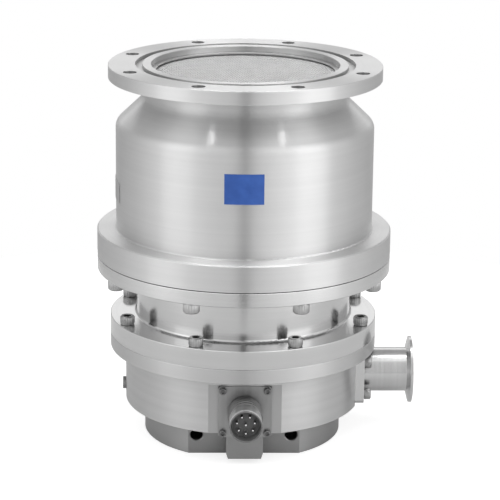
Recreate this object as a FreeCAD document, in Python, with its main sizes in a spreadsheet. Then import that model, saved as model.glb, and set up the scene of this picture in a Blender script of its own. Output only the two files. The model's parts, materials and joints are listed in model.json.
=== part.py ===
import FreeCAD, Part
import os
import re
import Sketcher

# Turbomolecular pump with a magnetically levitated rotor. The frame is in millimetres: Z is the
# rotor axis, the origin is the centre of the foot's underside, the connector faces -Y and the
# exhaust port faces +X.

# Driving dimensions, in millimetres and degrees.
sizes = {
    # Heights of the housing, stacked from the foot up
    "footHeight": 36.0,
    "bodyHeight": 63.3,
    "baseFlangeHeight": 16.2,
    "spoolLowerFlangeHeight": 21.0,
    "spoolNeckHeight": 53.0,
    "spoolUpperFlangeHeight": 15.5,
    "casingFlangeHeight": 30.2,
    "casingTubeHeight": 118.3,
    "casingConeHeight": 29.5,
    "casingNeckHeight": 20.0,
    "inletFlangeHeight": 15.0,
    # Radii of the housing; further ones follow from these by the walls and lands below
    "casingRadius": 142.0,
    "spoolBoreRadius": 111.3,
    "inletThroatRadius": 97.5,
    "chamberRadius": 74.0,
    # Edge breaks and blends of the housing
    "shoulderBlend": 12.0,
    "coneBlend": 14.0,
    "casingFootBlend": 1.8,
    "spoolFootBlend": 3.0,
    "smallBlend": 1.5,
    "flangeChamfer": 1.5,
    "edgeChamfer": 0.6,
    "seamReliefWidth": 3.5,
    "seamReliefHeight": 0.9,
    # Inlet flange and screen
    "screenSeatWidth": 5.5,
    "inletSealLand": 9.5,
    "inletSealWidth": 8.0,
    "inletSealDepth": 4.5,
    "inletBoltStandoff": 14.5,
    "inletBoltEdge": 15.0,
    "inletBoltHoleRadius": 7.5,
    "inletBoltCount": 8,
    "boltStartAngle": 22.5,
    "screenSeatDepth": 10.8,
    "screenThickness": 1.0,
    "screenRingTopDepth": 6.3,
    "screenRingLip": 1.8,
    "screenRingWidth": 5.1,
    "screenRingFoot": 2.8,
    # Casing wall and seals
    "casingWall": 6.0,
    "neckWall": 13.5,
    "spoolWall": 8.2,
    "innerShoulderDrop": 6.0,
    "sealGrooveWidth": 5.8,
    "sealGrooveDepth": 4.7,
    "sealCordRadius": 2.35,
    "casingSealLand": 1.7,
    "baseSealLand": 7.2,
    # Clearances
    "seatClearance": 0.1,
    "faceClearance": 0.3,
    "magneticGap": 0.3,
    "touchdownGap": 0.2,
    "drumClearance": 0.6,
    # How far a cut runs past its piece, and a joined blade or pole into its ring
    "cutOverrun": 1.0,
    "joinSink": 1.0,
    # Socket cap screws that join the housing
    "casingScrewRadius": 6.0,
    "casingScrewHeadRadius": 9.0,
    "casingScrewHeadHeight": 11.8,
    "casingScrewSocket": 5.7,
    "casingScrewReach": 20.0,
    "casingScrewStandoff": 10.0,
    "casingScrewEdge": 11.0,
    "baseScrewRadius": 5.0,
    "baseScrewHeadRadius": 8.0,
    "baseScrewHeadHeight": 10.0,
    "baseScrewSocket": 4.6,
    "baseScrewReach": 13.0,
    "baseScrewStandoff": 19.5,
    "baseScrewEdge": 9.8,
    "screwHoleClearance": 0.5,
    "screwCount": 8,
    "socketShare": 0.55,
    "tappingRoom": 2.0,
    # Ledge in the spool's bore
    "spoolLedgeWidth": 4.3,
    "spoolLedgeHeight": 3.5,
    # Gas channel, boss and wiring chamber of the base
    "channelStep": 0.7,
    "channelFloor": 44.0,
    "bodyWall": 19.8,
    "bossRadius": 72.0,
    "bossTop": 102.0,
    "columnWellFloor": 40.0,
    "chamberTop": 32.0,
    "coverLand": 10.0,
    "coverRecessDepth": 6.0,
    "coverThickness": 4.0,
    "gasketThickness": 1.0,
    "coverScrewCount": 6,
    "coverScrewRadius": 2.5,
    "coverScrewHeadRadius": 4.4,
    "coverScrewHeadHeight": 1.9,
    "coverScrewSocket": 1.6,
    "coverScrewReach": 14.0,
    "footBoltStandoff": 13.0,
    "footBoltEdge": 13.4,
    "footBoltHoleRadius": 4.25,
    "footBoltHoleDepth": 16.0,
    "footBoltCount": 4,
    # Flats on the foot and the body, as depths cut from the round
    "footFlatDepth": 18.6,
    "connectorFlatDepth": 6.1,
    "connectorFlatMargin": 0.6,
    "exhaustFlatDepth": 6.3,
    "waterPortRadius": 6.7,
    "waterPortBevel": 1.0,
    "waterPortBevelAngle": 45.0,
    "waterPortDepth": 30.0,
    "waterPortOffset": 52.0,
    "waterPortHeight": 21.5,
    # Exhaust port
    "exhaustHeight": 66.6,
    "exhaustPlateWidth": 80.0,
    "exhaustPlateHeight": 56.0,
    "exhaustPlateThickness": 10.0,
    "exhaustPlateCorner": 4.0,
    "exhaustBoreRadius": 21.0,
    "exhaustTubeRadius": 24.8,
    "exhaustFlangeRadius": 37.5,
    "exhaustFlangeRim": 3.0,
    "exhaustFlangeTaper": 15.0,
    "exhaustReach": 191.0,
    "exhaustSeatRadius": 26.1,
    "exhaustSeatDepth": 3.0,
    "exhaustScrewY": 31.0,
    "exhaustScrewZ": 18.5,
    "exhaustSealRadius": 25.0,
    "exhaustSealCord": 1.55,
    "exhaustSealGrooveWidth": 4.0,
    "exhaustSealGrooveDepth": 3.1,
    "portScrewRadius": 4.0,
    "portScrewHeadRadius": 6.5,
    "portScrewHeadHeight": 8.0,
    "portScrewSocket": 3.4,
    "portScrewReach": 20.0,
    # Connector
    "connectorHeight": 62.3,
    "connectorPlateSize": 58.0,
    "connectorPlateThickness": 5.0,
    "connectorPlateCorner": 3.0,
    "connectorScrewSpacing": 48.0,
    "connectorScrewRadius": 2.0,
    "connectorScrewHeadRadius": 3.9,
    "connectorScrewHeadHeight": 4.0,
    "connectorScrewSocket": 1.7,
    "connectorScrewReach": 12.0,
    "connectorBossRadius": 18.4,
    "connectorBossLength": 24.5,
    "connectorShellRadius": 17.45,
    "connectorShellLength": 23.0,
    "connectorShellWall": 1.5,
    "connectorInsertRecess": 12.5,
    "connectorPinRadius": 1.3,
    "connectorPinReach": 7.2,
    "connectorPinRoot": 6.0,
    "connectorPinCircleRadius": 9.75,
    "connectorPinCount": 7,
    "connectorKeyWidth": 2.6,
    "connectorKeyDepth": 0.9,
    "connectorWellRadius": 16.0,
    "connectorWellDepth": 9.0,
    # Wiring duct under the connector
    "ductWidth": 40.0,
    "ductBottom": 6.0,
    "ductTaperWidth": 36.0,
    "ductTaperHeight": 6.0,
    "ductWall": 5.0,
    "wireHoleRadius": 3.5,
    "wireHoleInset": 5.7,
    "footWireHoleRadius": 5.0,
    "footWireHoleHeight": 21.0,
    # Purge plug and plates
    "purgePlugRadius": 7.0,
    "purgePlugProud": 3.5,
    "purgePlugHeight": 50.0,
    "purgeHoleDepth": 10.0,
    "purgeSocket": 3.2,
    "purgeSocketDepth": 2.5,
    "plateThickness": 0.5,
    "nameplateWidth": 60.0,
    "nameplateHeight": 22.0,
    "nameplateLevel": 270.0,
    "nameplateAngle": -176.6,
    "labelThickness": 0.3,
    "labelWidth": 42.0,
    "labelHeight": 32.5,
    "labelLevel": 296.0,
    "labelAngle": -91.4,
    # Rotor
    "bladeTipGap": 2.0,
    "hubRadius": 80.0,
    "bellRadius": 64.0,
    "threadStatorWall": 6.6,
    "drumWall": 14.0,
    "drumShoulderHeight": 6.0,
    "drumShoulderGap": 4.0,
    "drumFootGap": 5.0,
    "webThickness": 24.0,
    "hubRecess": 16.0,
    "lowestRowClearance": 14.5,
    "firstRotorRow": 18.0,
    "rotorRowStep": 2.0,
    "firstStatorRow": 10.0,
    "statorRowStep": 1.0,
    "bladeAngle": 40.0,
    "bladeAngleStep": 4.0,
    "bladeThickness": 3.2,
    "bladeSink": 3.0,
    "firstBladeCount": 24,
    "bladeCountStep": 4,
    # Stator discs and spacers
    "spacerWall": 8.0,
    "statorRimThickness": 2.5,
    "statorRimLip": 2.5,
    "statorBoreRadius": 82.0,
    "statorBoreRim": 4.0,
    # Bearing column
    "columnRadius": 50.0,
    "columnBoreRadius": 42.0,
    "columnFlangeRadius": 68.0,
    "columnFlangeHeight": 12.0,
    "columnLipHeight": 12.0,
    "columnTopGap": 3.5,
    "columnSpigot": 56.0,
    "columnScrewCircleRadius": 59.0,
    "columnScrewCount": 6,
    "columnScrewReach": 16.0,
    "bearingPlateHeight": 10.0,
    "bearingSeatRadius": 30.0,
    # Shaft
    "shaftRadius": 25.0,
    "journalRadius": 15.0,
    "shaftFlangeRadius": 38.0,
    "shaftFlangeHeight": 12.0,
    "shaftSpigot": 12.0,
    "shaftEndGap": 3.0,
    "rotorScrewCircleRadius": 27.0,
    "rotorScrewCount": 6,
    "rotorScrewReach": 9.0,
    # Thrust bearing
    "thrustDiscRadius": 38.0,
    "thrustDiscHeight": 8.0,
    "axialMagnetHeight": 14.0,
    "axialMagnetInnerRadius": 26.5,
    "axialCoilInnerRadius": 31.0,
    "axialCoilOuterRadius": 37.0,
    "axialCoilDepth": 6.0,
    # Radial magnets, sensors and motor
    "sensorHeight": 8.0,
    "sensorGap": 4.0,
    "radialMagnetHeight": 34.0,
    "magnetSpacing": 8.0,
    "coilOverhang": 5.0,
    "coilWidth": 15.0,
    "coilEdge": 1.0,
    "poleWidth": 9.0,
    "poleCount": 8,
    "yokeInnerRadius": 36.0,
    "motorPoleWidth": 6.0,
    "motorPoleCount": 12,
    "windingHeight": 10.0,
    "windingInnerRadius": 27.0,
    "magnetSleeveWall": 4.0,
    # Touchdown bearings
    "ballRadius": 3.5,
    "ballCircleRadius": 22.5,
    "ballCount": 18,
    "ballClearance": 0.3,
    "raceHalfGap": 2.0,
    "raceHeight": 8.0,
    "raceEndGap": 1.0,
}

# Levels and radii that follow from the sizes.
places = {
    "footTop": "footHeight",
    "bodyTop": "footTop + bodyHeight",
    "baseTop": "bodyTop + baseFlangeHeight",
    "spoolLowerFlangeTop": "baseTop + spoolLowerFlangeHeight",
    "spoolNeckTop": "spoolLowerFlangeTop + spoolNeckHeight",
    "spoolTop": "spoolNeckTop + spoolUpperFlangeHeight",
    "casingFlangeTop": "spoolTop + casingFlangeHeight",
    "shoulderLevel": "casingFlangeTop + casingTubeHeight",
    "coneTop": "shoulderLevel + casingConeHeight",
    "inletUnderside": "coneTop + casingNeckHeight",
    "inletFace": "inletUnderside + inletFlangeHeight",
    # Radii, stacked outwards from the bores
    "casingInnerRadius": "casingRadius - casingWall",
    "casingNeckRadius": "inletThroatRadius + neckWall",
    "casingScrewCircleRadius": "casingRadius + casingScrewStandoff",
    "casingFlangeRadius": "casingScrewCircleRadius + casingScrewEdge",
    "casingSealRadius": "casingInnerRadius + casingSealLand + sealGrooveWidth / 2",
    "inletBoreRadius": "inletThroatRadius + screenSeatWidth",
    "inletSealInnerRadius": "inletBoreRadius + inletSealLand",
    "inletSealOuterRadius": "inletSealInnerRadius + inletSealWidth",
    "inletBoltCircleRadius": "inletSealOuterRadius + inletBoltStandoff",
    "inletFlangeRadius": "inletBoltCircleRadius + inletBoltEdge",
    "screenRingInnerRadius": "inletBoreRadius - screenRingWidth",
    "spoolLedgeRadius": "spoolBoreRadius - spoolLedgeWidth",
    "spoolNeckRadius": "spoolBoreRadius + spoolWall",
    "baseScrewCircleRadius": "spoolNeckRadius + baseScrewStandoff",
    "baseFlangeRadius": "baseScrewCircleRadius + baseScrewEdge",
    "baseSealRadius": "spoolBoreRadius + baseSealLand + sealGrooveWidth / 2",
    "channelRadius": "spoolBoreRadius + channelStep",
    "bodyRadius": "channelRadius + bodyWall",
    "coverRecessRadius": "chamberRadius + coverLand",
    "coverScrewCircleRadius": "(chamberRadius + coverRecessRadius) / 2",
    "footBoltCircleRadius": "coverRecessRadius + footBoltStandoff",
    "footRadius": "footBoltCircleRadius + footBoltEdge",
    "footFlat": "footRadius - footFlatDepth",
    "connectorFlat": "bodyRadius - connectorFlatDepth",
    "connectorFlatTop": "connectorHeight + connectorPlateSize / 2 + connectorFlatMargin",
    "exhaustFlat": "bodyRadius - exhaustFlatDepth",
    "spacerInnerRadius": "casingInnerRadius - spacerWall",
    "bladeTipRadius": "spacerInnerRadius - bladeTipGap",
    "threadStatorInnerRadius": "spoolBoreRadius - seatClearance - threadStatorWall",
    "drumRadius": "threadStatorInnerRadius - drumClearance",
    "drumInnerRadius": "drumRadius - drumWall",
    # Inside of the casing
    "innerShoulder": "shoulderLevel - innerShoulderDrop",
    "coneSlope": "casingConeHeight / (casingRadius - casingNeckRadius)",
    "innerConeTop": "innerShoulder + (casingInnerRadius - inletThroatRadius) * coneSlope",
    "screenSeat": "inletFace - screenSeatDepth",
    "screenTop": "screenSeat + screenThickness",
    "screenRingTop": "inletFace - screenRingTopDepth",
    # Blade rows: five rotor rows and four stator rows between the spool and the shoulder
    "rotorTop": "innerShoulder",
    "rotorRows": "5 * firstRotorRow - 10 * rotorRowStep",
    "statorRows": "4 * firstStatorRow - 6 * statorRowStep",
    "rowSpace": "rotorTop - spoolTop - lowestRowClearance",
    "rowGap": "(rowSpace - rotorRows - statorRows) / 8",
    "drumShoulderTop": "spoolTop + lowestRowClearance - drumShoulderGap",
    "drumShoulderFoot": "drumShoulderTop - drumShoulderHeight",
    "drumFoot": "baseTop + spoolLedgeHeight + drumFootGap",
    "webTop": "rotorTop - hubRecess",
    "webFoot": "webTop - webThickness",
    # Shaft and column
    "shaftFlangeFoot": "webFoot - shaftFlangeHeight",
    "columnTop": "shaftFlangeFoot - columnTopGap",
    "columnLip": "columnTop - columnLipHeight",
    "columnFoot": "bossTop - columnSpigot",
    "bearingPlateTop": "columnFoot + bearingPlateHeight",
    "lowerAxialTop": "bearingPlateTop + axialMagnetHeight",
    "thrustDiscFoot": "lowerAxialTop + magneticGap",
    "thrustDiscTop": "thrustDiscFoot + thrustDiscHeight",
    "upperAxialFoot": "thrustDiscTop + magneticGap",
    "upperAxialTop": "upperAxialFoot + axialMagnetHeight",
    "lowerSensorFoot": "upperAxialTop + sensorGap",
    "lowerMagnetFoot": "lowerSensorFoot + sensorHeight + magnetSpacing",
    "lowerMagnetTop": "lowerMagnetFoot + radialMagnetHeight",
    "motorFoot": "lowerMagnetTop + magnetSpacing + windingHeight",
    "upperSensorFoot": "columnLip - sensorGap - sensorHeight",
    "upperMagnetTop": "upperSensorFoot - magnetSpacing",
    "upperMagnetFoot": "upperMagnetTop - radialMagnetHeight",
    "motorTop": "upperMagnetFoot - magnetSpacing - windingHeight",
    "shaftEnd": "columnFoot - shaftEndGap",
    "magnetInnerRadius": "shaftRadius + magneticGap",
    "magnetOuterRadius": "columnBoreRadius - seatClearance",
    "sleeveRadius": "shaftRadius - magnetSleeveWall",
    "upperRaceFoot": "columnLip + raceEndGap",
    "lowerRaceFoot": "columnFoot + raceEndGap",
    "upperJournalFoot": "columnLip - raceEndGap",
    # Port and connector
    "exhaustPlateFace": "exhaustFlat + exhaustPlateThickness",
    "exhaustTaperDepth": "(exhaustFlangeRadius - exhaustTubeRadius) * tan(exhaustFlangeTaper * 1 deg)",
    "connectorPlateFace": "connectorFlat + connectorPlateThickness",
    "connectorBoreRadius": "connectorShellRadius - connectorShellWall",
    "wireHoleDistance": "connectorFlat - wireHoleInset",
    "coverFoot": "coverRecessDepth - gasketThickness - coverThickness",
}

doc = FreeCAD.newDocument("TurbomolecularPump")
parts = []


def qualify(text):
    # Puts the sheet's name before each size or place in an expression.
    def withSheet(match):
        word = match.group(0)
        if word in sizes:
            return "Sizes." + word
        if word in places:
            return "Places." + word
        return word

    return re.sub(r"[A-Za-z]\w*", withSheet, str(text))


def fillSheet(name, cells, asFormula):
    sheet = doc.addObject("Spreadsheet::Sheet", name)
    for row, (alias, content) in enumerate(cells.items(), start=1):
        sheet.set("A%d" % row, alias)
        sheet.set("B%d" % row, "=" + qualify(content) if asFormula else str(content))
        sheet.setAlias("B%d" % row, alias)
    doc.recompute()
    return sheet


sizeSheet = fillSheet("Sizes", sizes, False)
placeSheet = fillSheet("Places", places, True)


def number(text):
    # The value of an expression as a plain number.
    value = sizeSheet.evalExpression(qualify(text))
    return float(getattr(value, "Value", value))


def newBody(label):
    body = doc.addObject("PartDesign::Body", label)
    body.AllowCompound = True
    parts.append(body)
    return body


def originPiece(body, role):
    return [piece for piece in body.Origin.OriginFeatures if piece.Role == role][0]


def newSketch(body, planeRole, offset="0"):
    # A sketch on one of the body's own origin planes, moved along the plane's normal.
    sketch = body.newObject("Sketcher::SketchObject", body.Label + "_sketch")
    sketch.AttachmentSupport = (originPiece(body, planeRole), [""])
    sketch.MapMode = "FlatFace"
    sketch.setExpression("AttachmentOffset.Base.z", qualify(offset))
    return sketch


def tie(sketch, constraints, expressions):
    # Adds constraints in one go and binds each measured one to its expression.
    first = sketch.ConstraintCount
    sketch.addConstraint(constraints)
    for index, text in expressions.items():
        sketch.setExpression("Constraints[%d]" % (first + index), qualify(text))


def pinPoint(constraints, expressions, geometry, point, across, up):
    # Fixes a sketch point at the given expressions, or on an axis where one is zero.
    for kind, text, axis in (("DistanceX", across, -2), ("DistanceY", up, -1)):
        if str(text) == "0":
            constraints.append(Sketcher.Constraint("PointOnObject", geometry, point, axis))
        else:
            expressions[len(constraints)] = text
            constraints.append(Sketcher.Constraint(kind, -1, 1, geometry, point, number(text)))


def drawOutline(sketch, outline):
    # A closed outline of straight lines through points given as pairs of expressions.
    corners = [FreeCAD.Vector(number(across), number(up), 0) for across, up in outline]
    total = len(corners)
    first = sketch.GeometryCount
    lines = [Part.LineSegment(corners[k], corners[(k + 1) % total]) for k in range(total)]
    sketch.addGeometry(lines, False)
    constraints = []
    expressions = {}
    for k in range(total):
        following = first + (k + 1) % total
        constraints.append(Sketcher.Constraint("Coincident", first + k, 2, following, 1))
    for k, (across, up) in enumerate(outline):
        pinPoint(constraints, expressions, first + k, 1, across, up)
    tie(sketch, constraints, expressions)


def drawCircles(sketch, centres, radius):
    for across, up in centres:
        centre = FreeCAD.Vector(number(across), number(up), 0)
        circle = Part.Circle(centre, FreeCAD.Vector(0, 0, 1), number(radius))
        geometry = sketch.addGeometry(circle, False)
        constraints = [Sketcher.Constraint("Radius", geometry, number(radius))]
        expressions = {0: radius}
        pinPoint(constraints, expressions, geometry, 3, across, up)
        tie(sketch, constraints, expressions)


def rectangle(left, right, low, high):
    return [(left, low), (right, low), (right, high), (left, high)]


def roundTheAxis(text, angle):
    # A point at a radius and an angle, as a pair of expressions.
    return (
        "(%s) * cos((%s) * 1 deg)" % (text, angle),
        "(%s) * sin((%s) * 1 deg)" % (text, angle),
    )


def hexagon(centre, across, angle="0"):
    corners = []
    for k in range(6):
        x, y = roundTheAxis(across, "%s + %d" % (angle, 60 * k))
        corners.append(("%s + %s" % (centre[0], x), "%s + %s" % (centre[1], y)))
    return corners


def turn(body, outlines, angle="360", midplane=False):
    # Turns outlines, drawn as radius and height, about the body's Z axis.
    sketch = newSketch(body, "XZ_Plane")
    for outline in outlines:
        drawOutline(sketch, outline)
    feature = body.newObject("PartDesign::Revolution", body.Label + "_turned")
    feature.Profile = sketch
    feature.ReferenceAxis = (sketch, ["V_Axis"])
    feature.setExpression("Angle", qualify(angle))
    feature.Midplane = midplane
    return feature


def pad(body, sketch, length, reverse=False):
    feature = body.newObject("PartDesign::Pad", body.Label + "_pad")
    feature.Profile = sketch
    feature.setExpression("Length", qualify(length))
    feature.Reversed = reverse
    return feature


def pocket(body, sketch, depth, reverse=False):
    # Cuts against the sketch's normal, or along it where reversed.
    feature = body.newObject("PartDesign::Pocket", body.Label + "_pocket")
    feature.Profile = sketch
    feature.setExpression("Length", qualify(depth))
    feature.Reversed = reverse
    return feature


def ringPattern(body, features, count):
    pattern = body.newObject("PartDesign::PolarPattern", body.Label + "_pattern")
    pattern.Originals = features
    pattern.Axis = (originPiece(body, "Z_Axis"), [""])
    pattern.Angle = 360
    pattern.setExpression("Occurrences", qualify(count))
    body.Tip = pattern
    return pattern


def cutHoles(body, planeRole, level, centres, radius, depth, reverse=False, count=None):
    sketch = newSketch(body, planeRole, level)
    drawCircles(sketch, centres, radius)
    hole = pocket(body, sketch, depth, reverse)
    if count:
        ringPattern(body, [hole], count)
    return hole


def ringEdges(shape, radius, level):
    # Names of the circular edges at a radius and a level.
    names = []
    for index, edge in enumerate(shape.Edges, start=1):
        curve = edge.Curve
        if isinstance(curve, Part.Circle):
            sameRadius = abs(curve.Radius - number(radius)) < 0.01
            sameLevel = abs(curve.Center.z - number(level)) < 0.01
            if sameRadius and sameLevel:
                names.append("Edge%d" % index)
    return names


def dressEdges(body, kind, size, rings):
    # Fillets or chamfers the circular edges given as pairs of radius and level.
    doc.recompute()
    base = body.Tip
    edges = []
    for radius, level in rings:
        edges += ringEdges(base.Shape, radius, level)
    feature = body.newObject("PartDesign::" + kind, body.Label + "_" + kind.lower())
    feature.Base = (base, edges)
    feature.setExpression("Radius" if kind == "Fillet" else "Size", qualify(size))
    return feature


def turned(label, *outlines):
    body = newBody(label)
    turn(body, outlines)
    return body


def tube(inner, outer, low, high):
    return rectangle(inner, outer, low, high)


def torusRing(label, radius, cord, level):
    body = newBody(label)
    ring = body.newObject("PartDesign::AdditiveTorus", label + "_torus")
    ring.setExpression("Radius1", qualify(radius))
    ring.setExpression("Radius2", qualify(cord))
    ring.setExpression("Placement.Base.z", qualify(level))
    return body


def socketScrews(label, planeRole, seat, centres, kind, reach, hanging=False, count=None):
    # Socket cap screws whose heads rest on the seat; a hanging screw has its head below the seat.
    body = newBody(label)
    headSketch = newSketch(body, planeRole, seat)
    drawCircles(headSketch, centres, kind + "HeadRadius")
    head = pad(body, headSketch, kind + "HeadHeight", hanging)
    shankSketch = newSketch(body, planeRole, seat)
    drawCircles(shankSketch, centres, kind + "Radius")
    shank = pad(body, shankSketch, reach, not hanging)
    sign = "-" if hanging else "+"
    socketSketch = newSketch(body, planeRole, "%s %s %sHeadHeight" % (seat, sign, kind))
    for centre in centres:
        drawOutline(socketSketch, hexagon(centre, kind + "Socket"))
    socket = pocket(body, socketSketch, kind + "HeadHeight * socketShare", hanging)
    if count:
        ringPattern(body, [head, shank, socket], count)
    return body


def placeBody(body, x, y, z, rotation):
    body.Placement = FreeCAD.Placement(FreeCAD.Vector(0, 0, 0), rotation)
    for axis, text in (("x", x), ("y", y), ("z", z)):
        body.setExpression("Placement.Base." + axis, qualify(text))


towardsX = FreeCAD.Rotation(FreeCAD.Vector(0, 1, 0), 90)
towardsFront = FreeCAD.Rotation(FreeCAD.Vector(1, 0, 0), 90)


def makeCasing():
    body = turned("pump_casing", [
        ("casingInnerRadius", "spoolTop"),
        ("casingFlangeRadius - seamReliefWidth", "spoolTop"),
        ("casingFlangeRadius - seamReliefWidth", "spoolTop + seamReliefHeight"),
        ("casingFlangeRadius", "spoolTop + seamReliefHeight"),
        ("casingFlangeRadius", "casingFlangeTop"),
        ("casingRadius", "casingFlangeTop"),
        ("casingRadius", "shoulderLevel"),
        ("casingNeckRadius", "coneTop"),
        ("casingNeckRadius", "inletUnderside"),
        ("inletFlangeRadius", "inletUnderside"),
        ("inletFlangeRadius", "inletFace"),
        ("inletSealOuterRadius", "inletFace"),
        ("inletSealOuterRadius", "inletFace - inletSealDepth"),
        ("inletSealInnerRadius", "inletFace - inletSealDepth"),
        ("inletSealInnerRadius", "inletFace"),
        ("inletBoreRadius", "inletFace"),
        ("inletBoreRadius", "screenSeat"),
        ("inletThroatRadius", "screenSeat"),
        ("inletThroatRadius", "innerConeTop"),
        ("casingInnerRadius", "innerShoulder"),
    ])
    dressEdges(body, "Fillet", "shoulderBlend", [("casingRadius", "shoulderLevel")])
    dressEdges(body, "Fillet", "coneBlend", [("casingNeckRadius", "coneTop")])
    dressEdges(body, "Fillet", "casingFootBlend", [("casingRadius", "casingFlangeTop")])
    dressEdges(body, "Fillet", "smallBlend", [("casingNeckRadius", "inletUnderside")])
    dressEdges(body, "Chamfer", "flangeChamfer", [("casingFlangeRadius", "casingFlangeTop")])
    dressEdges(body, "Chamfer", "edgeChamfer", [
        ("inletFlangeRadius", "inletUnderside"),
        ("inletFlangeRadius", "inletFace"),
        ("inletBoreRadius", "inletFace"),
    ])
    cutHoles(
        body, "XY_Plane", "inletFace", [roundTheAxis("inletBoltCircleRadius", "boltStartAngle")],
        "inletBoltHoleRadius", "inletFlangeHeight + cutOverrun", count="inletBoltCount",
    )
    cutHoles(
        body, "XY_Plane", "spoolTop", [roundTheAxis("casingScrewCircleRadius", "boltStartAngle")],
        "casingScrewRadius + seatClearance", "casingScrewReach + tappingRoom", reverse=True,
        count="screwCount",
    )


def makeScreen():
    turned("inlet_screen", [
        ("0", "screenSeat"),
        ("inletBoreRadius - faceClearance", "screenSeat"),
        ("inletBoreRadius - faceClearance", "screenTop"),
        ("0", "screenTop"),
    ])
    turned("inlet_screen_ring", [
        ("inletBoreRadius - seatClearance - screenRingFoot", "screenTop"),
        ("inletBoreRadius - seatClearance", "screenTop"),
        ("inletBoreRadius - seatClearance", "screenRingTop"),
        ("screenRingInnerRadius", "screenRingTop"),
        ("screenRingInnerRadius", "screenRingTop - screenRingLip"),
        ("inletBoreRadius - seatClearance - screenRingFoot", "screenRingTop - screenRingLip"),
    ])


def makeSpool():
    body = turned("exhaust_spool", [
        ("spoolLedgeRadius", "baseTop"),
        ("baseFlangeRadius", "baseTop"),
        ("baseFlangeRadius", "spoolLowerFlangeTop"),
        ("spoolNeckRadius", "spoolLowerFlangeTop"),
        ("spoolNeckRadius", "spoolNeckTop"),
        ("casingFlangeRadius", "spoolNeckTop"),
        ("casingFlangeRadius", "spoolTop"),
        ("casingSealRadius + sealGrooveWidth / 2", "spoolTop"),
        ("casingSealRadius + sealGrooveWidth / 2", "spoolTop - sealGrooveDepth"),
        ("casingSealRadius - sealGrooveWidth / 2", "spoolTop - sealGrooveDepth"),
        ("casingSealRadius - sealGrooveWidth / 2", "spoolTop"),
        ("spoolBoreRadius", "spoolTop"),
        ("spoolBoreRadius", "baseTop + spoolLedgeHeight"),
        ("spoolLedgeRadius", "baseTop + spoolLedgeHeight"),
    ])
    dressEdges(body, "Fillet", "spoolFootBlend", [("spoolNeckRadius", "spoolLowerFlangeTop")])
    dressEdges(body, "Fillet", "smallBlend", [("spoolNeckRadius", "spoolNeckTop")])
    dressEdges(body, "Chamfer", "edgeChamfer", [
        ("baseFlangeRadius", "baseTop"),
        ("baseFlangeRadius", "spoolLowerFlangeTop"),
        ("casingFlangeRadius", "spoolNeckTop"),
        ("casingFlangeRadius", "spoolTop"),
    ])
    cutHoles(
        body, "XY_Plane", "spoolTop", [roundTheAxis("casingScrewCircleRadius", "boltStartAngle")],
        "casingScrewRadius + screwHoleClearance", "spoolUpperFlangeHeight + cutOverrun",
        count="screwCount",
    )
    cutHoles(
        body, "XY_Plane", "spoolLowerFlangeTop",
        [roundTheAxis("baseScrewCircleRadius", "boltStartAngle")],
        "baseScrewRadius + screwHoleClearance", "spoolLowerFlangeHeight + cutOverrun",
        count="screwCount",
    )
    torusRing("casing_seal", "casingSealRadius", "sealCordRadius", "spoolTop - sealGrooveDepth / 2")
    socketScrews(
        "casing_screws", "XY_Plane", "spoolNeckTop",
        [roundTheAxis("casingScrewCircleRadius", "boltStartAngle")],
        "casingScrew", "spoolUpperFlangeHeight + casingScrewReach", hanging=True,
        count="screwCount",
    )
    socketScrews(
        "base_screws", "XY_Plane", "spoolLowerFlangeTop",
        [roundTheAxis("baseScrewCircleRadius", "boltStartAngle")],
        "baseScrew", "spoolLowerFlangeHeight + baseScrewReach", count="screwCount",
    )
    turned("thread_stator", tube(
        "threadStatorInnerRadius", "spoolBoreRadius - seatClearance",
        "baseTop + spoolLedgeHeight", "spoolTop",
    ))


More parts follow.
